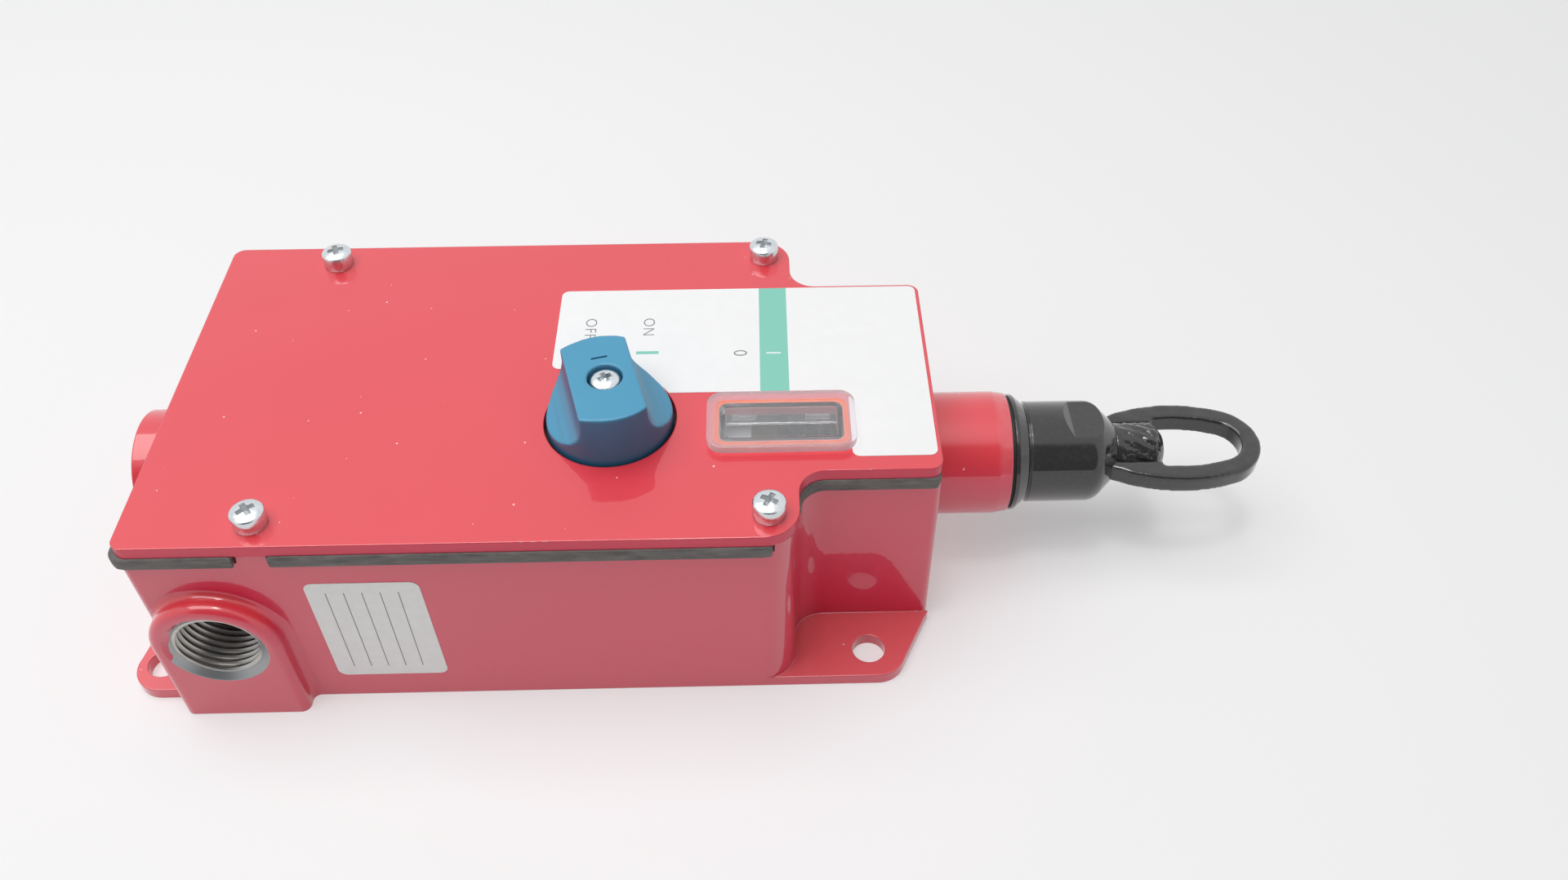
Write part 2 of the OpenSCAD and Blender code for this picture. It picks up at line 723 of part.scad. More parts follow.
// Share of the length reached after t turns: dead end turns, even pitch between
function coil_rise(t) = t < 1 ? 0.064 * t * spring_len
    : t > coil_n - 1 ? spring_len * (1 - 0.064 * (coil_n - t))
    : spring_len * (0.064 + 0.872 * (t - 1) / (coil_n - 2));
function coil_pt(i, k) = let (t = i / coil_steps, a = 360 * t, b = 360 * k / coil_sides)
    [spring_x0 + wire_r + coil_rise(t) + wire_r * sin(b),
     (coil_r + wire_r * cos(b)) * cos(a), axis_z + (coil_r + wire_r * cos(b)) * sin(a)];
module main_spring() {
    pts = [for (i = [0:coil_total], k = [0:coil_sides - 1]) coil_pt(i, k)];
    sides = [for (i = [0:coil_total - 1], k = [0:coil_sides - 1])
        let (k2 = (k + 1) % coil_sides, a = i * coil_sides, b = (i + 1) * coil_sides)
        [a + k, b + k, b + k2, a + k2]];
    ends = [[for (k = [0:coil_sides - 1]) k],
        [for (k = [coil_sides - 1:-1:0]) coil_total * coil_sides + k]];
    color("#8f9499") polyhedron(points = pts, faces = concat(sides, ends), convexity = 10);
}

module pull_shaft() {
    color("#b8bcc2") difference() {
        union() {
            rod_x(shaft_x0 + 1, shaft_x1, shaft_r);
            translate([shaft_x0, 0, axis_z]) rotate([0, 90, 0]) cylinder(h = 1, r1 = shaft_r - 1, r2 = shaft_r);
        }
        translate([pin_x, 0, axis_z - 20]) cylinder(h = 40, r = 1.5);
    }
}

module cam_slide() {
    color("#d8d3c4") difference() {
        // tapered sides push the plungers out as the rod is pulled
        translate([0, 0, cam_z0]) linear_extrude(cam_h) polygon([
            [cam_x0, -cam_b], [cam_x1 - 10, -cam_half(cam_x1 - 10)], [cam_x1, -cam_half(cam_x1)],
            [cam_x1, cam_half(cam_x1)], [cam_x1 - 10, cam_half(cam_x1 - 10)], [cam_x0, cam_b]]);
        rod_x(cam_x0 - 1, cam_x1 + 1, shaft_r + 0.02);
        translate([pin_x, 0, cam_z0 - 1]) cylinder(h = cam_h + 2, r = 1.5);
        // groove that the latch bolt enters
        translate([cam_x0 - 1, -cam_b - 1, bolt_z - 0.6])
            cube([10.6, 4.7, bolt_t + 1.2]);
        // seat of the indicator
        translate([flag_x - 4.2, -5.2, cam_z0 + cam_h - 1.2]) cube([8.4, 10.4, 3]);
    }
}

module cam_pin() {
    color("silver") translate([pin_x, 0, cam_z0 + 0.4]) cylinder(h = cam_h - 0.8, r = 1.49);
}

module spring_collar() {
    color("#a9adb3") difference() {
        rod_x(cam_x1, cam_x1 + collar_t, collar_r);
        rod_x(cam_x1 - 1, cam_x1 + collar_t + 1, shaft_r + 0.02);
    }
}

flag_x = xl + lens_x - 11.3;
flag_z = z_pad - 7.6;
module indicator_flag() {
    color("#5b5e63") {
        translate([flag_x - 4, -5, cam_z0 + cam_h - 1.2]) cube([8, 10, 2.6]);
        translate([flag_x - 4, -7.5, cam_z0 + cam_h]) cube([8, 3, flag_z - cam_z0 - cam_h]);
        translate([flag_x - 4, -lens_y - lens_w / 2 + lens_rim + 1.4, flag_z])
            cube([8, lens_y + lens_w / 2 - lens_rim - 1.4 - 4.5, 1.5]);
    }
}

// Sleeve that joins the rod to the eye: flange, cone, barrel and nose; x is the
// radius and y the distance along the axis
module sleeve_profile() {
    b = barrel_x - sleeve_x;
    n = nose_x - sleeve_x;
    difference() {
        union() {
            polygon([[shaft_r + 0.02, 0], [flange_r, 0], [flange_r, flange_t], [sleeve_r - 0.5, b - 0.4],
                     [sleeve_r, b], [sleeve_r, n], [0, n], [0, shaft_x1 - sleeve_x],
                     [shaft_r + 0.02, shaft_x1 - sleeve_x]]);
            polygon([[0, n - 1], [sleeve_r - nose_round, n - 1], [sleeve_r - nose_round, n],
                     [nose_arc_r, n + nose_arc_l], [nose_r, n + nose_l], [0, n + nose_l]]);
            intersection() {
                translate([sleeve_r - nose_round, n - 1]) square([nose_round, 1 + nose_arc_l]);
                translate([sleeve_r - nose_round, n]) circle(nose_round);
            }
        }
        translate([0, n + 0.6]) square([stud_r + 0.02, 20]);
    }
}
module sleeve() {
    flat_x = nose_x - flat_l;
    color("#1d1d1f") difference() {
        translate([sleeve_x, 0, axis_z]) rotate([0, 90, 0]) rotate_extrude() sleeve_profile();
        // wrench flats above and below, with a slanted run-out
        for (s = [0, 1]) translate([0, 20, axis_z]) mirror([0, 0, s]) rotate([90, 0, 0]) linear_extrude(40)
            polygon([[flat_x, flat_h], [sleeve_end + 1, flat_h], [sleeve_end + 1, 20], [flat_x - 3, 20],
                     [flat_x - 3, sleeve_r + 0.6]]);
    }
}

module face_seal() {
    color("#141415") translate([xs, 0, axis_z]) rotate([0, 90, 0]) difference() {
        cylinder(h = seal_t, r = flange_r - 0.5);
        translate([0, 0, -1]) cylinder(h = seal_t + 2, r = shaft_r + 0.02);
    }
}

// Stepped stud, screwed into the sleeve and welded through the ring
stem_bevel = 3;
module eye_stud() {
    color("#1b1b1d") {
        rod_x(nose_x + 0.6, sleeve_end + 1, stud_r);
        rod_x(sleeve_end + 0.01, stud_end - stem_bevel, stem_r);
        translate([stud_end - stem_bevel, 0, axis_z]) rotate([0, 90, 0])
            cylinder(h = stem_bevel, r1 = stem_r, r2 = stem_r - stem_bevel);
    }
}

// Oval of two end arcs and two long arcs, drawn in by d
eye_re = 12;
eye_c = eye_a - eye_re;
eye_g = eye_b - eye_re;
eye_k = (eye_c * eye_c - eye_g * eye_g) / (2 * eye_g);
eye_rs = eye_k + eye_b;
module eye_oval(d) {
    tx = eye_c * (eye_rs - d) / (eye_rs - eye_re);
    intersection() {
        translate([0, -eye_k]) circle(eye_rs - d);
        translate([0, eye_k]) circle(eye_rs - d);
        translate([-tx, -eye_b]) square([2 * tx, 2 * eye_b]);
    }
    for (s = [-1, 1]) translate([s * eye_c, 0]) circle(eye_re - d + 0.06);
}
module eye_ring() {
    color("#1b1b1d") difference() {
        translate([eye_x, 0, axis_z - eye_t / 2]) linear_extrude(eye_t) difference() {
            eye_oval(0);
            // flush with the nose of the sleeve
            translate([eye_in - eye_a - 20 + 0.05, -20]) square([20, 40]);
            // open beyond the web that is welded round the stud
            intersection() {
                eye_oval(eye_bar);
                translate([stud_end - 2 - eye_x, -20]) square([60, 40]);
            }
        }
        rod_x(sleeve_end - 1, stud_end + 1, stem_r + 0.02);
    }
}

// Knob: steep round body, scooped on both sides so that a grip bar stands
bore_r = 4.2;
bore_depth = 3.4;
module reset_knob() {
    color("#2c7fb8") difference() {
        translate([kx, -knob_y, 0]) union() {
            translate([0, 0, knob_z0]) cylinder(h = z_top + 1.4 - knob_z0, r = knob_r);
            translate([0, 0, z_top + 1.4]) cylinder(h = knob_h - 1.4, r1 = knob_r, r2 = knob_r - 0.4);
        }
        translate([kx, -knob_y, 0]) rotate(grip_a) for (s = [0, 180]) rotate(s)
            translate([0, 30, z_top + 3]) rotate([90, 0, 0]) linear_extrude(60) scoop();
        // drive socket for the spindle, screw hole and counterbore
        intersection() {
            translate([kx, -knob_y, knob_z0 - 1]) cylinder(h = spindle_top + 0.1 - knob_z0 + 1, r = spindle_r + 0.02);
            translate([kx - 10, -knob_y - spindle_r + 0.8, 0]) cube([20, 20, 100]);
        }
        translate([kx, -knob_y, spindle_top - 1]) cylinder(h = 20, r = 2.1);
        translate([kx, -knob_y, knob_top - bore_depth]) cylinder(h = 10, r = bore_r);
    }
}
// What is scooped off beside the grip bar; x is out from the bar, y is up
module scoop() {
    difference() {
        translate([grip_w / 2, 0]) square([30, 30]);
        corner([grip_w / 2, 0], [1, 1], scoop_r);
    }
    // run-out down to the rim
    polygon([[grip_w / 2 + 4, 0.9], [grip_w / 2 + 5.2, 0], [knob_r, -1.2], [30, -3.6], [30, 2], [grip_w / 2 + 9, 2]]);
}

module knob_screw() {
    color("silver") translate([kx, -knob_y, knob_top - bore_depth]) {
        difference() {
            intersection() {
                cylinder(h = 2.6, r = 3.5);
                translate([0, 0, -3.2]) sphere(r = 5.8);
            }
            translate([-2.2, -0.4, 1.5]) cube([4.4, 0.8, 3]);
            translate([-0.4, -2.2, 1.5]) cube([0.8, 4.4, 3]);
        }
        translate([0, 0, bore_depth - 13.2]) cylinder(h = 13.2 - bore_depth, r = 1.95);
    }
}

clip_z = z_pad - bush_low - 1.4;
module spindle() {
    color("#b8bcc2") translate([kx, -knob_y, 0]) difference() {
        union() {
            difference() {
                translate([0, 0, spindle_z0]) cylinder(h = spindle_top - spindle_z0, r = spindle_r);
                // drive flat in the knob
                translate([-10, -spindle_r - 9.1, knob_z0 - 0.05]) cube([20, 10, 40]);
            }
            translate([0, 0, crank_z0]) cylinder(h = crank_t + 1, r = 2.4);
        }
        // groove for the clip
        difference() {
            translate([0, 0, clip_z - 0.1]) cylinder(h = 1.2, r = spindle_r + 1);
            translate([0, 0, clip_z - 1]) cylinder(h = 4, r = spindle_r - 0.9);
        }
        translate([0, 0, spindle_top - 8]) cylinder(h = 20, r = 2);
    }
}

module spindle_clip() {
    color("#6e7277") translate([kx, -knob_y, clip_z]) difference() {
        cylinder(h = 1, r = spindle_r + 2.6);
        translate([0, 0, -1]) cylinder(h = 3, r = spindle_r - 0.85);
        translate([-2.6, -20, -1]) cube([5.2, 20, 3]);
    }
}

// Crank under the spindle: its pin moves the latch bolt
module reset_crank() {
    a = 180 + crank_a;
    color("#9a9ea4") translate([kx, -knob_y, crank_z0]) difference() {
        union() {
            cylinder(h = crank_t, r = 4.4);
            rotate(a) translate([0, -2.8, 0]) cube([crank_e, 5.6, crank_t]);
            rotate(a) translate([crank_e, 0, 0]) cylinder(h = crank_t, r = 2.8);
            rotate(a) translate([crank_e, 0, bolt_z + 0.3 - crank_z0])
                cylinder(h = crank_z0 - bolt_z + 0.5, r = crank_pin_r);
        }
        translate([0, 0, -1]) cylinder(h = crank_t + 2, r = 2.42);
    }
}

// Latch bolt: the crank pin runs in its slot, its tail in the guide
module latch_bolt() {
    crank_x = kx - crank_e * cos(crank_a);
    crank_y = -knob_y - crank_e * sin(crank_a);
    y1 = -cam_b - 0.7;
    color("#b3b7bd") difference() {
        union() {
            translate([crank_x - 5, crank_y - 7, bolt_z]) cube([cam_x0 + 8.5 - crank_x + 5, y1 - crank_y + 7, bolt_t]);
            translate([tail_x0, guide_y1 - guide_w - 3, bolt_z]) cube([tail_w, 20, bolt_t]);
            translate([cam_x0 + 2.5, y1 - 1, bolt_z]) cube([6, 1.5, bolt_t]);
        }
        translate([crank_x - 0.5, crank_y, bolt_z - 1]) cylinder(h = 9, r = crank_pin_r + slot_gap);
        translate([crank_x - 0.5, crank_y - crank_pin_r - slot_gap, bolt_z - 1])
            cube([1, 2 * (crank_pin_r + slot_gap), 9]);
        translate([crank_x + 0.5, crank_y, bolt_z - 1]) cylinder(h = 9, r = crank_pin_r + slot_gap);
    }
}

module plunger(s) {
    rod_y(s > 0 ? plunger_y : -plunger_in, s > 0 ? plunger_in : -plunger_y, plunger_r, px, axis_z);
    translate([px, s * plunger_y, axis_z]) sphere(r = plunger_r);
}
module plunger_near() { color("#c23b3b") plunger(-1); }
module plunger_far() { color("#c23b3b") plunger(1); }

housing();
cover();
cover_gasket();
cover_screws();
window_lens();
lens_seal();
knob_bush();
bush_screws();
spindle_seal();
guide_bush();
wiper_ring();
mech_plate();
plate_screws();
latch_guide();
switch_near();
switch_far();
switch_screws();
terminal_screws();
ground_screw();
main_spring();
pull_shaft();
cam_slide();
cam_pin();
spring_collar();
indicator_flag();
sleeve();
face_seal();
eye_stud();
eye_ring();
reset_knob();
knob_screw();
spindle();
spindle_clip();
reset_crank();
latch_bolt();
plunger_near();
plunger_far();
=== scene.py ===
import math

import bmesh
import bpy
from mathutils import Matrix, Vector, noise


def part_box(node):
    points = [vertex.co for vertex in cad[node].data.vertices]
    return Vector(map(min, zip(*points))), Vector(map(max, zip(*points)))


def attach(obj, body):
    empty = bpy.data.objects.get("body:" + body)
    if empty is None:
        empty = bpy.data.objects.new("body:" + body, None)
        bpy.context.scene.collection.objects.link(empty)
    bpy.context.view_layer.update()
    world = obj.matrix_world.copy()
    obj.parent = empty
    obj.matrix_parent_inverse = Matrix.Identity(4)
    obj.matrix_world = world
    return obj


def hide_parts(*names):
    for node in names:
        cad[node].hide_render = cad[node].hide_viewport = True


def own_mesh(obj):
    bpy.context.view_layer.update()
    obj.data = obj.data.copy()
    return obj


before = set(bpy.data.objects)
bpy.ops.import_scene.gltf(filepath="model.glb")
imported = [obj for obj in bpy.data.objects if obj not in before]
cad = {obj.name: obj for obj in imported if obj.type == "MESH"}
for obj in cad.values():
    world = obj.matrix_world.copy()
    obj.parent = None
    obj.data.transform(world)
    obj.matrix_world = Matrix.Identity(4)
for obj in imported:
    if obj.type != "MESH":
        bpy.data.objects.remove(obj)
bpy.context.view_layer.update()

# ---------------------------------------------------------------------------
# Table top, room and camera. A pale matt laminate table runs out to a pale
# room. One large soft box hangs overhead and a small one lights the edges.
# ---------------------------------------------------------------------------


def linear(hex_colour):
    """A hex colour such as #C8202F as a linear colour with alpha."""
    parts = [int(hex_colour[i:i + 2], 16) / 255 for i in (1, 3, 5)]
    return [*[c / 12.92 if c <= 0.04045 else ((c + 0.055) / 1.055) ** 2.4 for c in parts], 1.0]


def add(tree, kind, settings=(), links=()):
    """Adds a node. Settings are properties or input values, links say which socket feeds which input."""
    made = tree.nodes.new("ShaderNode" + kind)
    for name, value in dict(settings).items():
        if isinstance(name, str) and hasattr(made, name):
            setattr(made, name, value)
        else:
            made.inputs[name].default_value = value
    for name, socket in dict(links).items():
        tree.links.new(socket, made.inputs[name])
    return made


def start(name):
    """A new material with an empty node tree, as (material, tree, Object coordinates)."""
    material = bpy.data.materials.new(name)
    material.use_nodes = True
    material.node_tree.nodes.clear()
    return material, material.node_tree, add(material.node_tree, "TexCoord").outputs["Object"]


scene = bpy.context.scene
scene.view_settings.view_transform = "Standard"

ROOM_SEEN = 0.95  # what the camera, gloss and glass see of the room
ROOM_LIGHT = 0.34  # what the room adds to the light on the object
DARK_SIDE = 0.14  # share of ROOM_SEEN left where the unlit side of the room shows in gloss
room = bpy.data.worlds.new("room")
scene.world = room
room.use_nodes = True
tree = room.node_tree
tree.nodes.clear()
light_path = add(tree, "LightPath")
way = add(tree, "TexCoord")
# the unlit side is full within 29 degrees of this way and gone beyond 42 degrees
UNLIT_WAY = (0.05, -0.90, 0.43)
front = add(tree, "VectorMath", {"operation": "DOT_PRODUCT", 1: UNLIT_WAY}, {0: way.outputs["Generated"]})
unlit = add(tree, "MapRange", {"interpolation_type": "SMOOTHSTEP",
                               "From Min": math.cos(math.radians(42)),
                               "From Max": math.cos(math.radians(29)),
                               "To Min": ROOM_SEEN, "To Max": ROOM_SEEN * DARK_SIDE},
            {"Value": front.outputs["Value"]})
seen = add(tree, "Math", {"operation": "MAXIMUM"},
           {0: light_path.outputs["Is Camera Ray"], 1: light_path.outputs["Is Transmission Ray"]})
level = add(tree, "Mix", {"data_type": "FLOAT", 2: ROOM_LIGHT},
            {0: light_path.outputs["Is Glossy Ray"], 3: unlit.outputs[0]})
level = add(tree, "Mix", {"data_type": "FLOAT", 3: ROOM_SEEN}, {0: seen.outputs[0], 2: level.outputs[0]})
air = add(tree, "Background", {"Color": linear("#FBFCFF")}, {"Strength": level.outputs[0]})
add(tree, "OutputWorld", (), {"Surface": air.outputs[0]})

LAMPS_AIM = Vector((0.03, 0, 0.03))
for name, place, size, power in (
    ("soft_box", (-0.25, -0.02, 1.0), 0.9, 7.4),
    ("small_box", (0.02, -0.10, 0.90), 0.12, 0.80),
):
    lamp = bpy.data.lights.new(name, "AREA")
    lamp.size = size
    lamp.energy = power
    holder = bpy.data.objects.new(name, lamp)
    holder.location = place
    holder.rotation_euler = (LAMPS_AIM - Vector(place)).to_track_quat("-Z", "Y").to_euler()
    scene.collection.objects.link(holder)

# Matt white laminate: an even pale sheet that keeps soft grey shadows.
GLOW = 0.34  # how much of the table is shown as lit by the room, whatever stands on it
laminate, tree, where = start("white_laminate")
light_path = add(tree, "LightPath")
seen = add(tree, "Math", {"operation": "MAXIMUM"},
           {0: light_path.outputs["Is Camera Ray"], 1: light_path.outputs["Is Glossy Ray"]})
seen = add(tree, "Math", {"operation": "MAXIMUM"},
           {0: seen.outputs[0], 1: light_path.outputs["Is Transmission Ray"]})
# far from the object, where no shadow falls, the table is shown as lit by the room alone
far_off = add(tree, "VectorMath", {"operation": "LENGTH"}, {0: where})
glow_here = add(tree, "MapRange", {"interpolation_type": "SMOOTHSTEP", "From Min": 0.25, "From Max": 1.5,
                                   "To Min": GLOW, "To Max": 1.0},
                {"Value": far_off.outputs["Value"]})
share = add(tree, "Math", {"operation": "MULTIPLY"}, {0: seen.outputs[0], 1: glow_here.outputs[0]})
matt = add(tree, "BsdfDiffuse", {"Color": linear("#F4F4F4")})
glow = add(tree, "Emission", {"Color": linear("#FFFFFF"), "Strength": 1.0})
both = add(tree, "MixShader", (), {0: share.outputs[0], 1: matt.outputs[0], 2: glow.outputs[0]})
add(tree, "OutputMaterial", (), {"Surface": both.outputs[0]})

sheet = bmesh.new()
bmesh.ops.create_grid(sheet, x_segments=1, y_segments=1, size=6)
mesh = bpy.data.meshes.new("table_top")
sheet.to_mesh(mesh)
sheet.free()
table_top = bpy.data.objects.new("table_top", mesh)
scene.collection.objects.link(table_top)
mesh.materials.append(laminate)

view = bpy.data.cameras.new("camera")
view.sensor_width = 36
view.lens = 30.06
camera = bpy.data.objects.new("camera", view)
camera.location = (0.06377, -0.24041, 0.28210)
camera.rotation_euler = [math.radians(a) for a in (44.2409, 0.0795, -1.3667)]
scene.collection.objects.link(camera)
scene.camera = camera

# ---------------------------------------------------------------------------
# Housing: one zinc die casting with its ears, conduit bosses and snout,
# stove-enamelled red. The tapped bores are cut afterwards and stay bare.
# ---------------------------------------------------------------------------

MM = 0.001

# sizes and places are in millimetres from the frame's origin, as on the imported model
BORE_X, BORE_Z = -66.2, 26.6  # axis of the two side bores
ROD_Z = 29.2  # height of the rope axis, which is the end bore's axis too
MOUTH_R = 12.3  # a painted mouth ends here and bare metal starts
BOSS_INNER_Y, HUB_INNER_X = 43.9, -78  # bare metal lies beyond these, in the bosses and the hub
COVER_UNDER = 56.4

# Stove enamel on a casting: a bright even red under a hard clear gloss, with
# the faint waves of sprayed paint, pale dust specks and chips at the edges.
# A noise scale is in cells per metre: 420 gives wear 2.4 mm wide, 22 gives clouds of 45 mm.
enamel, tree, where = start("red_stove_enamel")
axes = add(tree, "SeparateXYZ", (), {0: where})
worn = add(tree, "TexNoise", {"Scale": 420.0, "Detail": 3.0, "Roughness": 0.6}, {"Vector": where})
tone = add(tree, "TexNoise", {"Scale": 22.0, "Detail": 2.0}, {"Vector": where})
paint = add(tree, "Mix", {"data_type": "RGBA", 6: linear("#E53A46"), 7: linear("#DF323E")},
            {0: tone.outputs[0]})

# a dusty, paler band runs round the end of the snout
snout_end = add(tree, "MapRange", {"interpolation_type": "SMOOTHSTEP", "From Min": 123.2 * MM,
                                   "From Max": 125.0 * MM, "To Min": 0.0, "To Max": 0.30},
                {"Value": axes.outputs[0]})
snout_end = add(tree, "Math", {"operation": "MULTIPLY"}, {0: snout_end.outputs[0], 1: worn.outputs[0]})
paint = add(tree, "Mix", {"data_type": "RGBA", 7: linear("#E9A5AA")},
            {0: snout_end.outputs[0], 6: paint.outputs[2]})

# upright walls are painted a darker crimson than the tops: painted shade
shape = add(tree, "NewGeometry")
facing = add(tree, "SeparateXYZ", (), {0: shape.outputs["Normal"]})
upright = add(tree, "MapRange", {"interpolation_type": "SMOOTHSTEP", "From Min": 0.75, "From Max": 0.15},
              {"Value": facing.outputs[2]})
paint = add(tree, "Mix", {"data_type": "RGBA", 7: linear("#D82348")},
            {0: upright.outputs[0], 6: paint.outputs[2]})

# the ears' upper faces close to the floor are painted paler: painted light that brightens them
low = add(tree, "Math", {"operation": "LESS_THAN", 1: 6 * MM}, {0: axes.outputs[2]})
ear_painted_light = add(tree, "Math", {"operation": "GREATER_THAN", 1: 0.9}, {0: facing.outputs[2]})
ear_painted_light = add(tree, "Math", {"operation": "MULTIPLY"}, {0: ear_painted_light.outputs[0], 1: low.outputs[0]})
ear_painted_light = add(tree, "Math", {"operation": "MULTIPLY", 1: 0.20}, {0: ear_painted_light.outputs[0]})
paint = add(tree, "Mix", {"data_type": "RGBA", 7: linear("#E9A5AA")},
            {0: ear_painted_light.outputs[0], 6: paint.outputs[2]})

# pale dust caught in the paint: specks 0.2 to 0.5 mm across on the upper faces, about one in 3 cm2
specks = add(tree, "TexVoronoi", {"voronoi_dimensions": "2D", "Scale": 95.0}, {"Vector": where})
speck_pick = add(tree, "SeparateColor", (), {0: specks.outputs["Color"]})
few = add(tree, "Math", {"operation": "GREATER_THAN", 1: 0.62}, {0: speck_pick.outputs[0]})
speck_size = add(tree, "Math", {"operation": "MULTIPLY", 1: 0.026}, {0: speck_pick.outputs[1]})
dot = add(tree, "Math", {"operation": "LESS_THAN"},
          {0: specks.outputs["Distance"], 1: speck_size.outputs[0]})
dot = add(tree, "Math", {"operation": "MULTIPLY"}, {0: dot.outputs[0], 1: few.outputs[0]})
on_top = add(tree, "Math", {"operation": "GREATER_THAN", 1: 0.5}, {0: facing.outputs[2]})
dot = add(tree, "Math", {"operation": "MULTIPLY"}, {0: dot.outputs[0], 1: on_top.outputs[0]})
paint = add(tree, "Mix", {"data_type": "RGBA", 7: linear("#F6C9C6")},
            {0: dot.outputs[0], 6: paint.outputs[2]})

# bare metal: the three bores inside their mouths, by distance from each axis
side_x = add(tree, "Math", {"operation": "SUBTRACT", 1: BORE_X * MM}, {0: axes.outputs[0]})
side_z = add(tree, "Math", {"operation": "SUBTRACT", 1: BORE_Z * MM}, {0: axes.outputs[2]})
side_out = add(tree, "CombineXYZ", (), {0: side_x.outputs[0], 1: side_z.outputs[0]})
side_r = add(tree, "VectorMath", {"operation": "LENGTH"}, {0: side_out.outputs[0]})
end_z = add(tree, "Math", {"operation": "SUBTRACT", 1: ROD_Z * MM}, {0: axes.outputs[2]})
end_out = add(tree, "CombineXYZ", (), {0: axes.outputs[1], 1: end_z.outputs[0]})
end_r = add(tree, "VectorMath", {"operation": "LENGTH"}, {0: end_out.outputs[0]})
overspray = add(tree, "TexNoise", {"Scale": 110.0, "Detail": 2.0}, {"Vector": where})  # 9 mm
ragged = add(tree, "MapRange", {"From Min": 0.50, "From Max": 0.66,
                                "To Min": MOUTH_R * MM, "To Max": (MOUTH_R - 1.7) * MM},
             {"Value": overspray.outputs[0]})
in_side = add(tree, "Math", {"operation": "LESS_THAN"}, {0: side_r.outputs["Value"], 1: ragged.outputs[0]})
depth = add(tree, "Math", {"operation": "ABSOLUTE"}, {0: axes.outputs[1]})
depth = add(tree, "Math", {"operation": "GREATER_THAN", 1: BOSS_INNER_Y * MM}, {0: depth.outputs[0]})
in_side = add(tree, "Math", {"operation": "MULTIPLY"}, {0: in_side.outputs[0], 1: depth.outputs[0]})
in_end = add(tree, "Math", {"operation": "LESS_THAN"}, {0: end_r.outputs["Value"], 1: ragged.outputs[0]})
past = add(tree, "Math", {"operation": "LESS_THAN", 1: HUB_INNER_X * MM}, {0: axes.outputs[0]})
in_end = add(tree, "Math", {"operation": "MULTIPLY"}, {0: in_end.outputs[0], 1: past.outputs[0]})
bare = add(tree, "Math", {"operation": "MAXIMUM"}, {0: in_side.outputs[0], 1: in_end.outputs[0]})

# chips: where the rounded edge turns the surface away and the wear noise peaks
soft_edge = add(tree, "Bevel", {"samples": 8, "Radius": 0.5 * MM})
turned_away = add(tree, "VectorMath", {"operation": "DOT_PRODUCT"},
                  {0: soft_edge.outputs[0], 1: shape.outputs["Normal"]})
edge = add(tree, "Math", {"operation": "LESS_THAN", 1: 0.90}, {0: turned_away.outputs["Value"]})
rare = add(tree, "TexNoise", {"Scale": 75.0, "Detail": 0.0}, {"Vector": where})  # 13 mm
chip = add(tree, "Math", {"operation": "GREATER_THAN", 1: 0.70}, {0: rare.outputs[0]})
chip_shape = add(tree, "Math", {"operation": "GREATER_THAN", 1: 0.55}, {0: worn.outputs[0]})
chip = add(tree, "Math", {"operation": "MULTIPLY"}, {0: chip.outputs[0], 1: chip_shape.outputs[0]})
chip = add(tree, "Math", {"operation": "MULTIPLY"}, {0: chip.outputs[0], 1: edge.outputs[0]})
bare = add(tree, "Math", {"operation": "MAXIMUM"}, {0: bare.outputs[0], 1: chip.outputs[0]})

colour = add(tree, "Mix", {"data_type": "RGBA", 7: linear("#A2A4A5")},
             {0: bare.outputs[0], 6: paint.outputs[2]})
rough = add(tree, "MapRange", {"To Min": 0.40, "To Max": 0.42}, {"Value": bare.outputs[0]})
# the edge of the cover plate is a cut edge and takes a thinner coat
above = add(tree, "Math", {"operation": "GREATER_THAN", 1: COVER_UNDER * MM}, {0: axes.outputs[2]})
cut_edge = add(tree, "Math", {"operation": "MULTIPLY"}, {0: above.outputs[0], 1: upright.outputs[0]})
cut_edge = add(tree, "Math", {"operation": "MULTIPLY", 1: 0.7}, {0: cut_edge.outputs[0]})
thin = add(tree, "Math", {"operation": "MAXIMUM"}, {0: cut_edge.outputs[0], 1: bare.outputs[0]})
clear = add(tree, "MapRange", {"To Min": 1.0, "To Max": 0.0}, {"Value": thin.outputs[0]})
# orange peel of sprayed enamel: waves about 1.6 mm long
peel = add(tree, "TexNoise", {"Scale": 620.0, "Detail": 1.0}, {"Vector": where})
waves = add(tree, "Bump", {"Strength": 0.10, "Distance": 0.12 * MM},
            {"Height": peel.outputs[0], "Normal": soft_edge.outputs[0]})
skin = add(tree, "BsdfPrincipled", {"Coat Roughness": 0.03, "Coat IOR": 1.6},
           {"Base Color": colour.outputs[2], "Metallic": bare.outputs[0], "Roughness": rough.outputs[0],
            "Coat Weight": clear.outputs[0], "Normal": waves.outputs[0], "Coat Normal": waves.outputs[0]})
add(tree, "OutputMaterial", (), {"Surface": skin.outputs[0]})


def dress(node, material):
    """Gives a CAD node its real finish."""
    cad[node].data.materials.clear()
    cad[node].data.materials.append(material)


dress("housing", enamel)

# ---------------------------------------------------------------------------
# Conduit threads: half-inch pipe threads, 14 to the inch, cut straight into
# the casting. Bare bright zinc, dulled by cutting oil, with sharp crests.
# ---------------------------------------------------------------------------

PITCH = 25.4 / 14
CREST, ROOT, BACK = 9.45, 10.2, 10.28
THREAD_STEPS = 90


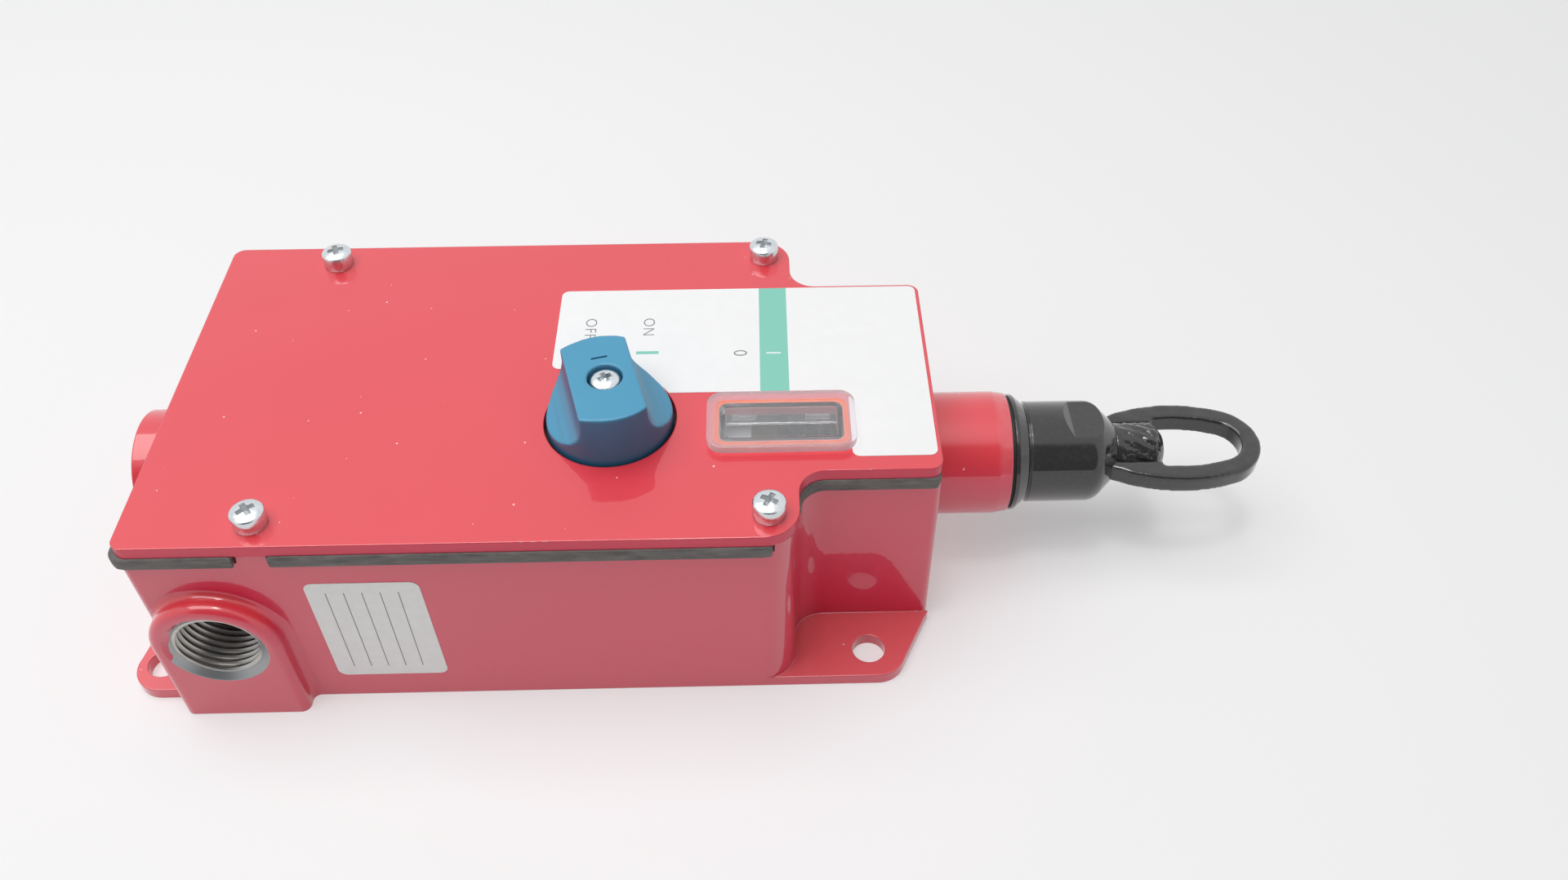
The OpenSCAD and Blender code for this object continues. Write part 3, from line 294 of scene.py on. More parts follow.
def finish_mesh(work, name, material, body="frame", smooth=35):
    """Turns a bmesh in millimetres into a piece that rides on a body."""
    bmesh.ops.recalc_face_normals(work, faces=work.faces)
    bmesh.ops.scale(work, vec=(MM, MM, MM), verts=work.verts)
    made = bpy.data.meshes.new(name)
    work.to_mesh(made)
    work.free()
    made.materials.append(material)
    made.shade_smooth()
    made.set_sharp_from_angle(angle=math.radians(smooth))
    piece = bpy.data.objects.new(name, made)
    scene.collection.objects.link(piece)
    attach(piece, body)
    return piece


# Cut zinc alloy: a soft grey shine, streaked round the bore by the tap.
cut_zinc, tree, where = start("tapped_zinc_alloy")
oil = add(tree, "TexNoise", {"Scale": 300.0, "Detail": 3.0}, {"Vector": where})  # 3 mm
colour = add(tree, "Mix", {"data_type": "RGBA", 6: linear("#9C9A96"), 7: linear("#CBC9C4")},
             {0: oil.outputs[0]})
rough = add(tree, "MapRange", {"To Min": 0.22, "To Max": 0.42}, {"Value": oil.outputs[0]})
skin = add(tree, "BsdfPrincipled", {"Metallic": 1.0},
           {"Base Color": colour.outputs[2], "Roughness": rough.outputs[0]})
add(tree, "OutputMaterial", (), {"Surface": skin.outputs[0]})

# each thread: name, length, and the turn and shift that put its mouth in place
for name, length, turn, mouth in (
    ("thread_near", 12.6, Matrix.Rotation(math.radians(90), 4, "X"), (BORE_X, -56.3, BORE_Z)),
    ("thread_far", 12.6, Matrix.Rotation(math.radians(-90), 4, "X"), (BORE_X, 56.3, BORE_Z)),
    ("thread_end", 17.4, Matrix.Rotation(math.radians(-90), 4, "Y"), (-94.8, 0.0, ROD_Z)),
):
    work = bmesh.new()
    line = []
    for turn_no in range(-2, int(length / PITCH) + 2):
        for share_of_pitch, r in ((0.0, ROOT), (0.12, ROOT), (0.44, CREST), (0.62, CREST)):
            line.append(work.verts.new((r, 0, -(turn_no + share_of_pitch) * PITCH)))
    edges = [work.edges.new(pair) for pair in zip(line, line[1:])]
    bmesh.ops.spin(work, geom=line + edges, cent=(0, 0, 0), axis=(0, 0, 1), angle=2 * math.pi,
                   steps=THREAD_STEPS, dvec=(0, 0, -PITCH / THREAD_STEPS), use_merge=False)
    bmesh.ops.remove_doubles(work, verts=work.verts, dist=0.004)
    for height, outer in ((0.0, True), (-length, False)):
        everything = [*work.verts, *work.edges, *work.faces]
        bmesh.ops.bisect_plane(work, geom=everything, dist=1e-5, plane_co=(0, 0, height),
                               plane_no=(0, 0, 1), clear_outer=outer, clear_inner=not outer)
    # close the two ends and the back against the casting
    rims = bmesh.ops.extrude_edge_only(work, edges=[e for e in work.edges if e.is_boundary])["geom"]
    for v in rims:
        if isinstance(v, bmesh.types.BMVert):
            v.co.xy = v.co.xy.normalized() * BACK
    bmesh.ops.bridge_loops(work, edges=[e for e in work.edges if e.is_boundary])
    bmesh.ops.transform(work, matrix=Matrix.Translation(mouth) @ turn, verts=work.verts)
    finish_mesh(work, name, cut_zinc, smooth=25)

# ---------------------------------------------------------------------------
# Gasket: a moulded nitrile rubber bead squeezed between housing and cover, cut
# away beside the screw lands. Matt, greyed by talc, bulging a little outwards.
# ---------------------------------------------------------------------------

# Nitrile rubber: nearly black, with a dry grey bloom in 6 mm streaks along the bead.
nitrile, tree, where = start("moulded_nitrile_rubber")
along = add(tree, "Mapping", {"Scale": (1, 1, 5)}, {"Vector": where})
bloom = add(tree, "TexNoise", {"Scale": 160.0, "Detail": 4.0, "Roughness": 0.65},
            {"Vector": along.outputs[0]})
colour = add(tree, "ValToRGB", (), {0: bloom.outputs[0]})
colour.color_ramp.elements[0].position = 0.30
colour.color_ramp.elements[0].color = linear("#4B4946")
colour.color_ramp.elements[1].position = 0.72
colour.color_ramp.elements[1].color = linear("#75726E")
rough = add(tree, "MapRange", {"To Min": 0.42, "To Max": 0.70}, {"Value": bloom.outputs[0]})
grain = add(tree, "Bump", {"Strength": 0.18, "Distance": 0.1 * MM}, {"Height": bloom.outputs[0]})
skin = add(tree, "BsdfPrincipled", (),
           {"Base Color": colour.outputs[0], "Roughness": rough.outputs[0], "Normal": grain.outputs[0]})
add(tree, "OutputMaterial", (), {"Surface": skin.outputs[0]})


def soften(node, voxel, passes):
    """A closed, softly rounded bmesh in millimetres made from a CAD node's loose triangles."""
    work = bmesh.new()
    work.from_mesh(cad[node].data)
    bmesh.ops.scale(work, vec=(1 / MM, 1 / MM, 1 / MM), verts=work.verts)
    bmesh.ops.remove_doubles(work, verts=work.verts, dist=1e-3)
    mesh = bpy.data.meshes.new("soft")
    work.to_mesh(mesh)
    work.free()
    holder = bpy.data.objects.new("soft", mesh)
    scene.collection.objects.link(holder)
    grid = holder.modifiers.new("grid", "REMESH")
    grid.mode = "VOXEL"
    grid.voxel_size = voxel
    result = bmesh.new()
    result.from_mesh(holder.evaluated_get(bpy.context.evaluated_depsgraph_get()).data)
    bpy.data.meshes.remove(mesh)
    for _ in range(passes):
        bmesh.ops.smooth_vert(result, verts=result.verts, factor=0.5,
                              use_axis_x=True, use_axis_y=True, use_axis_z=True)
    return result


def ramp(value):
    """0 below 0, 1 above 1 and the value itself between."""
    return min(max(value, 0), 1)


WALL_Y, NECK_Y = 52.7, 32.8
# box and neck: middle along X, half length and half width
WALL_BOXES = ((-5.3, 76.1, WALL_Y), (12.3, 93.7, NECK_Y))
LIP_Z = 54.9  # the outer lip is lowered below this height
NECK_EDGE_X = 104  # the cover's edge at the neck end

bead = soften("cover_gasket", 0.42, 5)
for v in bead.verts:
    # outside the walls the squeezed lip hangs down a little
    beyond = min(max(abs(v.co.x - x) - half_x, abs(v.co.y) - half_y)
                 for x, half_x, half_y in WALL_BOXES)
    v.co.z -= 0.5 * ramp(beyond) * ramp((LIP_Z - v.co.z) / 1.5)
    if v.co.x > NECK_EDGE_X:  # the bulge is half as deep here
        v.co.x = NECK_EDGE_X + (v.co.x - NECK_EDGE_X) * 0.5
bead_piece = finish_mesh(bead, "rubber_bead", nitrile, smooth=180)
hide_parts("cover_gasket")

# ---------------------------------------------------------------------------
# Cover: a plate die-cast and enamelled with the housing, drilled for four
# screws, the knob and the window. Same enamel, same gloss.
# ---------------------------------------------------------------------------

dress("cover", enamel)

# ---------------------------------------------------------------------------
# Cover screws: four number 10 fillister heads in zinc-plated steel with a
# combined cross and slot recess. The plating is bright and a little blue.
# ---------------------------------------------------------------------------

# Zinc plate over cold-headed steel: bright, cool, scuffed by handling in 1 mm marks.
plated, tree, where = start("bright_zinc_plate")
scuff = add(tree, "TexNoise", {"Scale": 900.0, "Detail": 4.0, "Roughness": 0.7}, {"Vector": where})
colour = add(tree, "Mix", {"data_type": "RGBA", 6: linear("#C3C9CC"), 7: linear("#EEF2F3")},
             {0: scuff.outputs[0]})
rough = add(tree, "MapRange", {"From Min": 0.3, "From Max": 0.7, "To Min": 0.16, "To Max": 0.34},
            {"Value": scuff.outputs[0]})
# the recesses hold grime: within 3 mm of a screw's axis and below its crown. The four
# screws stand evenly about one point, so both coordinates are folded there
COVER_TOP = 59.4
SCREWS_MID_X, SCREW_OUT_X, SCREW_OUT_Y = 6.8, 58.0, 46.6
axes = add(tree, "SeparateXYZ", (), {0: where})
fold_x = add(tree, "Math", {"operation": "SUBTRACT", 1: SCREWS_MID_X * MM}, {0: axes.outputs[0]})
fold_x = add(tree, "Math", {"operation": "ABSOLUTE"}, {0: fold_x.outputs[0]})
fold_x = add(tree, "Math", {"operation": "SUBTRACT", 1: SCREW_OUT_X * MM}, {0: fold_x.outputs[0]})
fold_y = add(tree, "Math", {"operation": "ABSOLUTE"}, {0: axes.outputs[1]})
fold_y = add(tree, "Math", {"operation": "SUBTRACT", 1: SCREW_OUT_Y * MM}, {0: fold_y.outputs[0]})
from_axis = add(tree, "CombineXYZ", (), {0: fold_x.outputs[0], 1: fold_y.outputs[0]})
from_axis = add(tree, "VectorMath", {"operation": "LENGTH"}, {0: from_axis.outputs[0]})
near_axis = add(tree, "Math", {"operation": "LESS_THAN", 1: 3.0 * MM}, {0: from_axis.outputs["Value"]})
sunk = add(tree, "Math", {"operation": "LESS_THAN", 1: (COVER_TOP + 4.45) * MM}, {0: axes.outputs[2]})
grime = add(tree, "Math", {"operation": "MULTIPLY"}, {0: near_axis.outputs[0], 1: sunk.outputs[0]})
colour = add(tree, "Mix", {"data_type": "RGBA", 7: linear("#CDD1D3")},
             {0: grime.outputs[0], 6: colour.outputs[2]})
rough = add(tree, "Mix", {"data_type": "FLOAT", 3: 0.50}, {0: grime.outputs[0], 2: rough.outputs[0]})
bright = add(tree, "MapRange", {"To Min": 1.0, "To Max": 0.12}, {"Value": grime.outputs[0]})
dents = add(tree, "Bump", {"Strength": 0.15, "Distance": 0.05 * MM}, {"Height": scuff.outputs[0]})
skin = add(tree, "BsdfPrincipled", (),
           {"Base Color": colour.outputs[2], "Metallic": bright.outputs[0],
            "Roughness": rough.outputs[0], "Normal": dents.outputs[0]})
add(tree, "OutputMaterial", (), {"Surface": skin.outputs[0]})

HEAD_R, HEAD_H, CROWN_H = 3.85, 4.1, 5.0
SHANK_R, SHANK_L, SCREW_PITCH = 2.3, 15.9, 0.8
FIRST_TURN, TURN_DEPTH = 1.2, 0.45


def cross_recess(span, slot, depth, top):
    """A cutter for a driver recess: two tapered blades crossed, and a straight slot."""
    cutter = bmesh.new()
    # angle, length, width, depth and taper; the second blade is a little smaller, so that no faces coincide
    blades = ((0, span, 1.7, depth, 0.5), (90, span, 1.68, depth - 0.05, 0.5), (45, slot, 1.9, 0.9, 0.6))
    for angle, length, width, deep, taper in blades:
        blade = bmesh.ops.create_cube(cutter, size=1)["verts"]
        bmesh.ops.scale(cutter, vec=(length, width, deep + 2), verts=blade)
        bmesh.ops.translate(cutter, vec=(0, 0, 1 - deep / 2), verts=blade)
        low = [v for v in blade if v.co.z < 0]
        bmesh.ops.scale(cutter, vec=(taper, 0.62, 1), verts=low)
        bmesh.ops.rotate(cutter, matrix=Matrix.Rotation(math.radians(angle), 3, "Z"), verts=blade)
    bmesh.ops.translate(cutter, vec=(0, 0, top), verts=cutter.verts)
    return cutter


def carve(work, cutter):
    """Takes one bmesh out of another."""
    made = []
    for name, source in (("work", work), ("cutter", cutter)):
        bmesh.ops.recalc_face_normals(source, faces=source.faces)
        mesh = bpy.data.meshes.new(name)
        source.to_mesh(mesh)
        source.free()
        holder = bpy.data.objects.new(name, mesh)
        scene.collection.objects.link(holder)
        made.append(holder)
    cut = made[0].modifiers.new("cut", "BOOLEAN")
    cut.object = made[1]
    cut.operation = "DIFFERENCE"
    cut.solver = "EXACT"
    cut.use_self = True
    result = bmesh.new()
    result.from_mesh(made[0].evaluated_get(bpy.context.evaluated_depsgraph_get()).data)
    for holder in made:
        bpy.data.meshes.remove(holder.data)
    return result


def turned(profile, steps=64):
    """A closed turned shape from (radius, height) points that start and end on the axis."""
    work = bmesh.new()
    line = [work.verts.new((r, 0, z)) for r, z in profile]
    edges = [work.edges.new(pair) for pair in zip(line, line[1:])]
    bmesh.ops.spin(work, geom=line + edges, cent=(0, 0, 0), axis=(0, 0, 1), angle=2 * math.pi,
                   steps=steps, use_merge=True)
    bmesh.ops.remove_doubles(work, verts=work.verts, dist=1e-4)
    return work


thread = []
for turn_no in range(int(SHANK_L / SCREW_PITCH) - 1):
    thread += [(SHANK_R, -FIRST_TURN - turn_no * SCREW_PITCH),
               (SHANK_R - TURN_DEPTH, -FIRST_TURN - (turn_no + 0.5) * SCREW_PITCH)]
head = turned([
    (0, CROWN_H), (0.9, CROWN_H - 0.04), (1.9, CROWN_H - 0.18), (2.8, CROWN_H - 0.42),
    (3.45, CROWN_H - 0.72), (HEAD_R - 0.12, HEAD_H - 0.02), (HEAD_R, HEAD_H - 0.22),
    (HEAD_R, 0.25), (HEAD_R - 0.15, 0.0), (SHANK_R, 0.0), *thread,
    (SHANK_R - 0.5, -SHANK_L + 0.4), (0, -SHANK_L),
])
head = carve(head, cross_recess(5.7, 2.3, 2.1, CROWN_H - 0.1))
screws = bmesh.new()
one = bpy.data.meshes.new("one")
head.to_mesh(one)
head.free()
for side_x, side_y, angle in ((-1, -1, 38), (1, -1, 62), (-1, 1, 20), (1, 1, 75)):
    place = (SCREWS_MID_X + side_x * SCREW_OUT_X, side_y * SCREW_OUT_Y, COVER_TOP)
    turn = Matrix.Rotation(math.radians(angle), 4, "Z")
    before = set(screws.verts)
    screws.from_mesh(one)
    fresh = [v for v in screws.verts if v not in before]
    bmesh.ops.transform(screws, matrix=Matrix.Translation(place) @ turn, verts=fresh)
bpy.data.meshes.remove(one)
cover_heads = finish_mesh(screws, "fillister_screws", plated, smooth=32)
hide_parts("cover_screws")

# ---------------------------------------------------------------------------
# Labels: die-cut white polyester stuck to the cover and to the near wall. The
# print is plain: a green band, a tick, ON and OFF, and two scale figures.
# ---------------------------------------------------------------------------

LABEL_T = 0.15
KNOB_AT = (26.9, -15.4)


def film(corners, rounding, name, material, place, hole=None):
    """A flat label with rounded corners. hole is a cutter's x, y and radius."""
    work = bmesh.new()
    face = work.faces.new([work.verts.new((x, y, 0)) for x, y in corners])
    bmesh.ops.bevel(work, geom=face.verts[:], offset=rounding, segments=7, profile=0.5,
                    affect="VERTICES", material=-1)
    up = bmesh.ops.extrude_face_region(work, geom=work.faces[:])["geom"]
    bmesh.ops.translate(work, vec=(0, 0, LABEL_T),
                        verts=[v for v in up if isinstance(v, bmesh.types.BMVert)])
    if hole:
        drill = bmesh.new()
        bmesh.ops.create_cone(drill, cap_ends=True, segments=160, radius1=hole[2], radius2=hole[2],
                              depth=4, matrix=Matrix.Translation((hole[0], hole[1], 0)))
        bmesh.ops.recalc_face_normals(work, faces=work.faces)
        work = carve(work, drill)
    bmesh.ops.transform(work, matrix=place, verts=work.verts)
    return finish_mesh(work, name, material)


# Matt-laminated polyester: flat bright white, 4 mm mottle, a printed green band and tick.
polyester, tree, where = start("printed_white_polyester")
axes = add(tree, "SeparateXYZ", (), {0: where})
fibre = add(tree, "TexNoise", {"Scale": 260.0, "Detail": 3.0}, {"Vector": where})
white = add(tree, "Mix", {"data_type": "RGBA", 6: linear("#F1F1F0"), 7: linear("#F7F7F7")},
            {0: fibre.outputs[0]})
# the band, then the tick: middle and half width along X, then along Y
for patch in (((66.8, 3.6), (13.2, 30.0)), ((34.7, 2.85), (8.07, 0.55))):
    within = []
    for axis, (middle, half) in enumerate(patch):
        off = add(tree, "Math", {"operation": "SUBTRACT", 1: middle * MM}, {0: axes.outputs[axis]})
        off = add(tree, "Math", {"operation": "ABSOLUTE"}, {0: off.outputs[0]})
        within.append(add(tree, "Math", {"operation": "LESS_THAN", 1: half * MM}, {0: off.outputs[0]}))
    inside = add(tree, "Math", {"operation": "MULTIPLY"}, {0: within[0].outputs[0], 1: within[1].outputs[0]})
    white = add(tree, "Mix", {"data_type": "RGBA", 7: linear("#86CDBB")},
                {0: inside.outputs[0], 6: white.outputs[2]})
rough = add(tree, "MapRange", {"To Min": 0.34, "To Max": 0.46}, {"Value": fibre.outputs[0]})
skin = add(tree, "BsdfPrincipled", (), {"Base Color": white.outputs[2], "Roughness": rough.outputs[0]})
add(tree, "OutputMaterial", (), {"Surface": skin.outputs[0]})

film([(11.0, 33.05), (11.0, 2.6), (20.0, 2.6), (20.0, -6.8), (84.7, -6.8), (84.7, -29.4),
      (104.8, -29.4), (104.8, 33.05)],
     1.9, "cover_label", polyester, Matrix.Translation((0, 0, COVER_TOP)), hole=(*KNOB_AT, 16.25))

# Screen ink: thin grey letters, uneven every 0.7 mm where the ink ran thin.
inks = {}
for name, dark, pale in (("grey_screen_ink", "#77777A", "#9A9A9C"),
                         ("white_screen_ink", "#E9F5F1", "#F6FBF9")):
    ink, tree, where = start(name)
    thin = add(tree, "TexNoise", {"Scale": 1500.0, "Detail": 2.0}, {"Vector": where})
    colour = add(tree, "Mix", {"data_type": "RGBA", 6: linear(dark), 7: linear(pale)}, {0: thin.outputs[0]})
    skin = add(tree, "BsdfPrincipled", {"Roughness": 0.5}, {"Base Color": colour.outputs[2]})
    add(tree, "OutputMaterial", (), {"Surface": skin.outputs[0]})
    inks[name] = ink

# the letters stand with their feet to the left and read towards the near side
CAP_HEIGHT = 0.72  # of the font, as a share of its size
READING = Matrix.Rotation(math.radians(-90), 4, "Z")
for name, words, height, ink, x, y, spread in (
    ("print_off", "OFF", 3.1, "grey_screen_ink", 18.2, 21.8, 1.12),
    ("print_on", "ON", 3.1, "grey_screen_ink", 33.2, 21.6, 1.12),
    ("print_0", "0", 3.6, "grey_screen_ink", 56.6, 8.6, 1.0),
    ("print_1", "1", 4.0, "white_screen_ink", 64.8, 8.6, 1.0),
):
    letters = bpy.data.curves.new(name, "FONT")
    letters.body = words
    letters.size = height / CAP_HEIGHT
    letters.space_character = spread
    letters.offset = -0.045
    letters.extrude = 0.012
    letters.resolution_u = 4
    holder = bpy.data.objects.new(name, letters)
    scene.collection.objects.link(holder)
    flat = bpy.data.meshes.new_from_object(holder.evaluated_get(bpy.context.evaluated_depsgraph_get()))
    bpy.data.objects.remove(holder)
    work = bmesh.new()
    work.from_mesh(flat)
    place = Matrix.Translation((x, y, COVER_TOP + LABEL_T + 0.008)) @ READING
    bmesh.ops.transform(work, matrix=place, verts=work.verts)
    finish_mesh(work, name, inks[ink])

# Inspection sticker: matt paper-faced film with a 2 mm mottle, greyed a little, with ruled lines.
sticker, tree, where = start("ruled_paper_film")
axes = add(tree, "SeparateXYZ", (), {0: where})
fibre = add(tree, "TexNoise", {"Scale": 500.0, "Detail": 4.0}, {"Vector": where})
paper = add(tree, "Mix", {"data_type": "RGBA", 6: linear("#E6E6E3"), 7: linear("#F3F3F1")},
            {0: fibre.outputs[0]})
# ruled lines, kept 3 mm clear of the sticker's edges
RULE_GAP = 4.2
step = add(tree, "Math", {"operation": "MULTIPLY_ADD", 1: 1 / (RULE_GAP * MM), 2: 10.05},
           {0: axes.outputs[0]})
step = add(tree, "Math", {"operation": "FRACT"}, {0: step.outputs[0]})
rule = add(tree, "Math", {"operation": "LESS_THAN", 1: 0.06}, {0: step.outputs[0]})
# along Z, then along X: number of the axis, middle and half length of the ruled field
for axis, middle, half in ((2, 26.9, 14.6), (0, -28.9, 11.0)):
    off = add(tree, "Math", {"operation": "SUBTRACT", 1: middle * MM}, {0: axes.outputs[axis]})
    off = add(tree, "Math", {"operation": "ABSOLUTE"}, {0: off.outputs[0]})
    within = add(tree, "Math", {"operation": "LESS_THAN", 1: half * MM}, {0: off.outputs[0]})
    rule = add(tree, "Math", {"operation": "MULTIPLY"}, {0: rule.outputs[0], 1: within.outputs[0]})
paper = add(tree, "Mix", {"data_type": "RGBA", 7: linear("#8C8C8C")},
            {0: rule.outputs[0], 6: paper.outputs[2]})
skin = add(tree, "BsdfPrincipled", {"Roughness": 0.6}, {"Base Color": paper.outputs[2]})
add(tree, "OutputMaterial", (), {"Surface": skin.outputs[0]})
film([(-42.3, 8.75), (-15.4, 8.75), (-15.9, 45.0), (-42.4, 45.0)], 2.2, "wall_sticker", sticker,
     Matrix.Translation((0, -WALL_Y, 0)) @ Matrix.Rotation(math.radians(90), 4, "X"))

# ---------------------------------------------------------------------------
# Window: a clear acrylic moulding snapped into the cover on an orange seal,
# and the indicator plate that slides under it. Polished outside and in.
# ---------------------------------------------------------------------------

WINDOW_X, WINDOW_Y = 68.1, -18.7
# the seal's inner and outer edge: half length, half width and corner radius
SEAL_INNER, SEAL_OUTER = (14.8, 6.4, 1.9), (16.3, 7.75, 2.7)

# Clear acrylic: water-clear with bright edges and 5 mm ripples of flow; lamps shine through it.
acrylic, tree, where = start("clear_moulded_acrylic")
light_path = add(tree, "LightPath")
edges = add(tree, "Bevel", {"samples": 6, "Radius": 0.5 * MM})
flow = add(tree, "TexNoise", {"Scale": 180.0, "Detail": 2.0}, {"Vector": where})
ripple = add(tree, "Bump", {"Strength": 0.06, "Distance": 0.1 * MM},
             {"Height": flow.outputs[0], "Normal": edges.outputs[0]})
tint = add(tree, "Mix", {"data_type": "RGBA", 6: linear("#F3F5F6"), 7: linear("#FBFDFD")},
           {0: flow.outputs[0]})
# the moulded rim is faintly milky and the flat pane hardly at all; the rim's side walls are painted whiter
# and less clear still, a painted highlight for the bright edges of the moulding
axes = add(tree, "SeparateXYZ", (), {0: where})
past = []
for axis, middle in enumerate((WINDOW_X, WINDOW_Y)):
    off = add(tree, "Math", {"operation": "SUBTRACT", 1: middle * MM}, {0: axes.outputs[axis]})
    off = add(tree, "Math", {"operation": "ABSOLUTE"}, {0: off.outputs[0]})
    half = SEAL_INNER[axis] * MM
    past.append(add(tree, "Math", {"operation": "GREATER_THAN", 1: half}, {0: off.outputs[0]}))
rim = add(tree, "Math", {"operation": "MAXIMUM"}, {0: past[0].outputs[0], 1: past[1].outputs[0]})
shape = add(tree, "NewGeometry")
tilt = add(tree, "SeparateXYZ", (), {0: shape.outputs["Normal"]})
side = add(tree, "Math", {"operation": "ABSOLUTE"}, {0: tilt.outputs[2]})
side = add(tree, "Math", {"operation": "LESS_THAN", 1: 0.5}, {0: side.outputs[0]})
side = add(tree, "Math", {"operation": "MULTIPLY"}, {0: side.outputs[0], 1: rim.outputs[0]})
clarity = add(tree, "Mix", {"data_type": "FLOAT", 2: 0.93, 3: 0.80}, {0: rim.outputs[0]})
clarity = add(tree, "Mix", {"data_type": "FLOAT", 3: 0.22}, {0: side.outputs[0], 2: clarity.outputs[0]})
milk_and_highlight = add(tree, "Mix", {"data_type": "RGBA", 7: linear("#E2DFE3")},
           {0: rim.outputs[0], 6: tint.outputs[2]})
milk_and_highlight = add(tree, "Mix", {"data_type": "RGBA", 7: linear("#EBE6EA")},
           {0: side.outputs[0], 6: milk_and_highlight.outputs[2]})
glass = add(tree, "BsdfPrincipled", {"Roughness": 0.03, "IOR": 1.49},
            {"Base Color": milk_and_highlight.outputs[2], "Normal": ripple.outputs[0],
             "Transmission Weight": clarity.outputs[0]})
through = add(tree, "BsdfTransparent", {"Color": linear("#EFF1F1")})
both = add(tree, "MixShader", (),
           {0: light_path.outputs["Is Shadow Ray"], 1: glass.outputs[0], 2: through.outputs[0]})
add(tree, "OutputMaterial", (), {"Surface": both.outputs[0]})
dress("window_lens", acrylic)

# Silicone seal: soft orange, matt, slightly paler every 8 mm where it is squeezed.
silicone, tree, where = start("orange_silicone_rubber")
squeeze = add(tree, "TexNoise", {"Scale": 120.0, "Detail": 3.0}, {"Vector": where})
colour = add(tree, "Mix", {"data_type": "RGBA", 6: linear("#E8603F"), 7: linear("#F08A66")},
             {0: squeeze.outputs[0]})
dimple = add(tree, "Bump", {"Strength": 0.2, "Distance": 0.08 * MM}, {"Height": squeeze.outputs[0]})
skin = add(tree, "BsdfPrincipled", {"Roughness": 0.45},
           {"Base Color": colour.outputs[2], "Normal": dimple.outputs[0]})
add(tree, "OutputMaterial", (), {"Surface": skin.outputs[0]})
seal = bmesh.new()
for half_x, half_y, corner in (SEAL_OUTER, SEAL_INNER):
    corners = ((-half_x, -half_y), (half_x, -half_y), (half_x, half_y), (-half_x, half_y))
    face = seal.faces.new([seal.verts.new((x, y, 0)) for x, y in corners])
    bmesh.ops.bevel(seal, geom=face.verts[:], offset=corner, segments=6, profile=0.5,
                    affect="VERTICES", material=-1)
bmesh.ops.delete(seal, geom=seal.faces[:], context="FACES_ONLY")
bmesh.ops.bridge_loops(seal, edges=seal.edges[:])
up = bmesh.ops.extrude_face_region(seal, geom=seal.faces[:])["geom"]
bmesh.ops.translate(seal, vec=(0, 0, 0.6), verts=[v for v in up if isinstance(v, bmesh.types.BMVert)])
bmesh.ops.recalc_face_normals(seal, faces=seal.faces)
rims = [e for e in seal.edges if len(e.link_faces) == 2 and e.calc_face_angle() > 1.2]
bmesh.ops.bevel(seal, geom=rims, offset=0.18, segments=3, profile=0.5,
                affect="EDGES", material=-1, clamp_overlap=True)
bmesh.ops.translate(seal, vec=(WINDOW_X, WINDOW_Y, COVER_TOP), verts=seal.verts)
seal_piece = finish_mesh(seal, "orange_window_seal", silicone)
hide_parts("lens_seal")

# ---------------------------------------------------------------------------
# Reset knob: moulded in blue nylon, a grip bar standing on a steep round
# skirt, held by one screw sunk in the top. All its edges are softly rounded.
# ---------------------------------------------------------------------------

GRIP_TURN = Matrix.Rotation(math.radians(15), 4, "Z")
KNOB_AXIS = Vector((*KNOB_AT, 0))
SKIRT_TOP = 61.5

# Moulded nylon: an even mid blue with a soft satin bloom 22 mm wide and a spark grain
# of 0.45 mm, coarser than the real one so that it shows.
nylon, tree, where = start("moulded_blue_nylon")
flow = add(tree, "TexNoise", {"Scale": 45.0, "Detail": 3.0}, {"Vector": where})
colour = add(tree, "Mix", {"data_type": "RGBA", 6: linear("#4593B8"), 7: linear("#529EBF")},
             {0: flow.outputs[0]})
grain = add(tree, "TexNoise", {"Scale": 2200.0, "Detail": 2.0}, {"Vector": where})
tilt = add(tree, "SeparateXYZ", (), {0: add(tree, "NewGeometry").outputs["Normal"]})
# the knob's sides are painted a darker blue than its top: painted shade
painted_side_shade = add(tree, "MapRange", {"interpolation_type": "SMOOTHSTEP", "From Min": 0.6, "From Max": 0.2},
              {"Value": tilt.outputs[2]})
colour = add(tree, "Mix", {"data_type": "RGBA", 7: linear("#3A7699")},
             {0: painted_side_shade.outputs[0], 6: colour.outputs[2]})
spark = add(tree, "Bump", {"Strength": 0.10, "Distance": 0.03 * MM}, {"Height": grain.outputs[0]})
rough = add(tree, "MapRange", {"To Min": 0.30, "To Max": 0.42}, {"Value": flow.outputs[0]})
skin = add(tree, "BsdfPrincipled", (),
           {"Base Color": colour.outputs[2], "Roughness": rough.outputs[0], "Normal": spark.outputs[0]})
add(tree, "OutputMaterial", (), {"Surface": skin.outputs[0]})

knob = soften("reset_knob", 0.28, 10)
for v in knob.verts:
    # above its skirt the grip leans to its left, by 0.75 mm on that side and 0.25 mm on the other
    local = GRIP_TURN.inverted() @ (v.co - KNOB_AXIS)
    high = ramp((v.co.z - SKIRT_TOP) / 4)
    local.x -= high * (0.75 * ramp((-local.x - 4.5) / 3) + 0.25 * ramp((local.x - 4.5) / 3))
    v.co = KNOB_AXIS + GRIP_TURN @ local
groove = bmesh.new()
bmesh.ops.create_cube(groove, size=1)
bmesh.ops.scale(groove, vec=(3.9, 0.6, 1.1), verts=groove.verts)
bmesh.ops.bevel(groove, geom=groove.edges[:], offset=0.15, segments=2, profile=0.5,
                affect="EDGES", material=-1)
knob_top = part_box("reset_knob")[1].z / MM
place = Matrix.Translation((*KNOB_AT, knob_top)) @ GRIP_TURN @ Matrix.Translation((0, 6.8, 0))
bmesh.ops.transform(groove, matrix=place, verts=groove.verts)
knob = carve(knob, groove)
knob_piece = finish_mesh(knob, "blue_reset_knob", nylon, body="reset", smooth=50)
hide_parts("reset_knob")

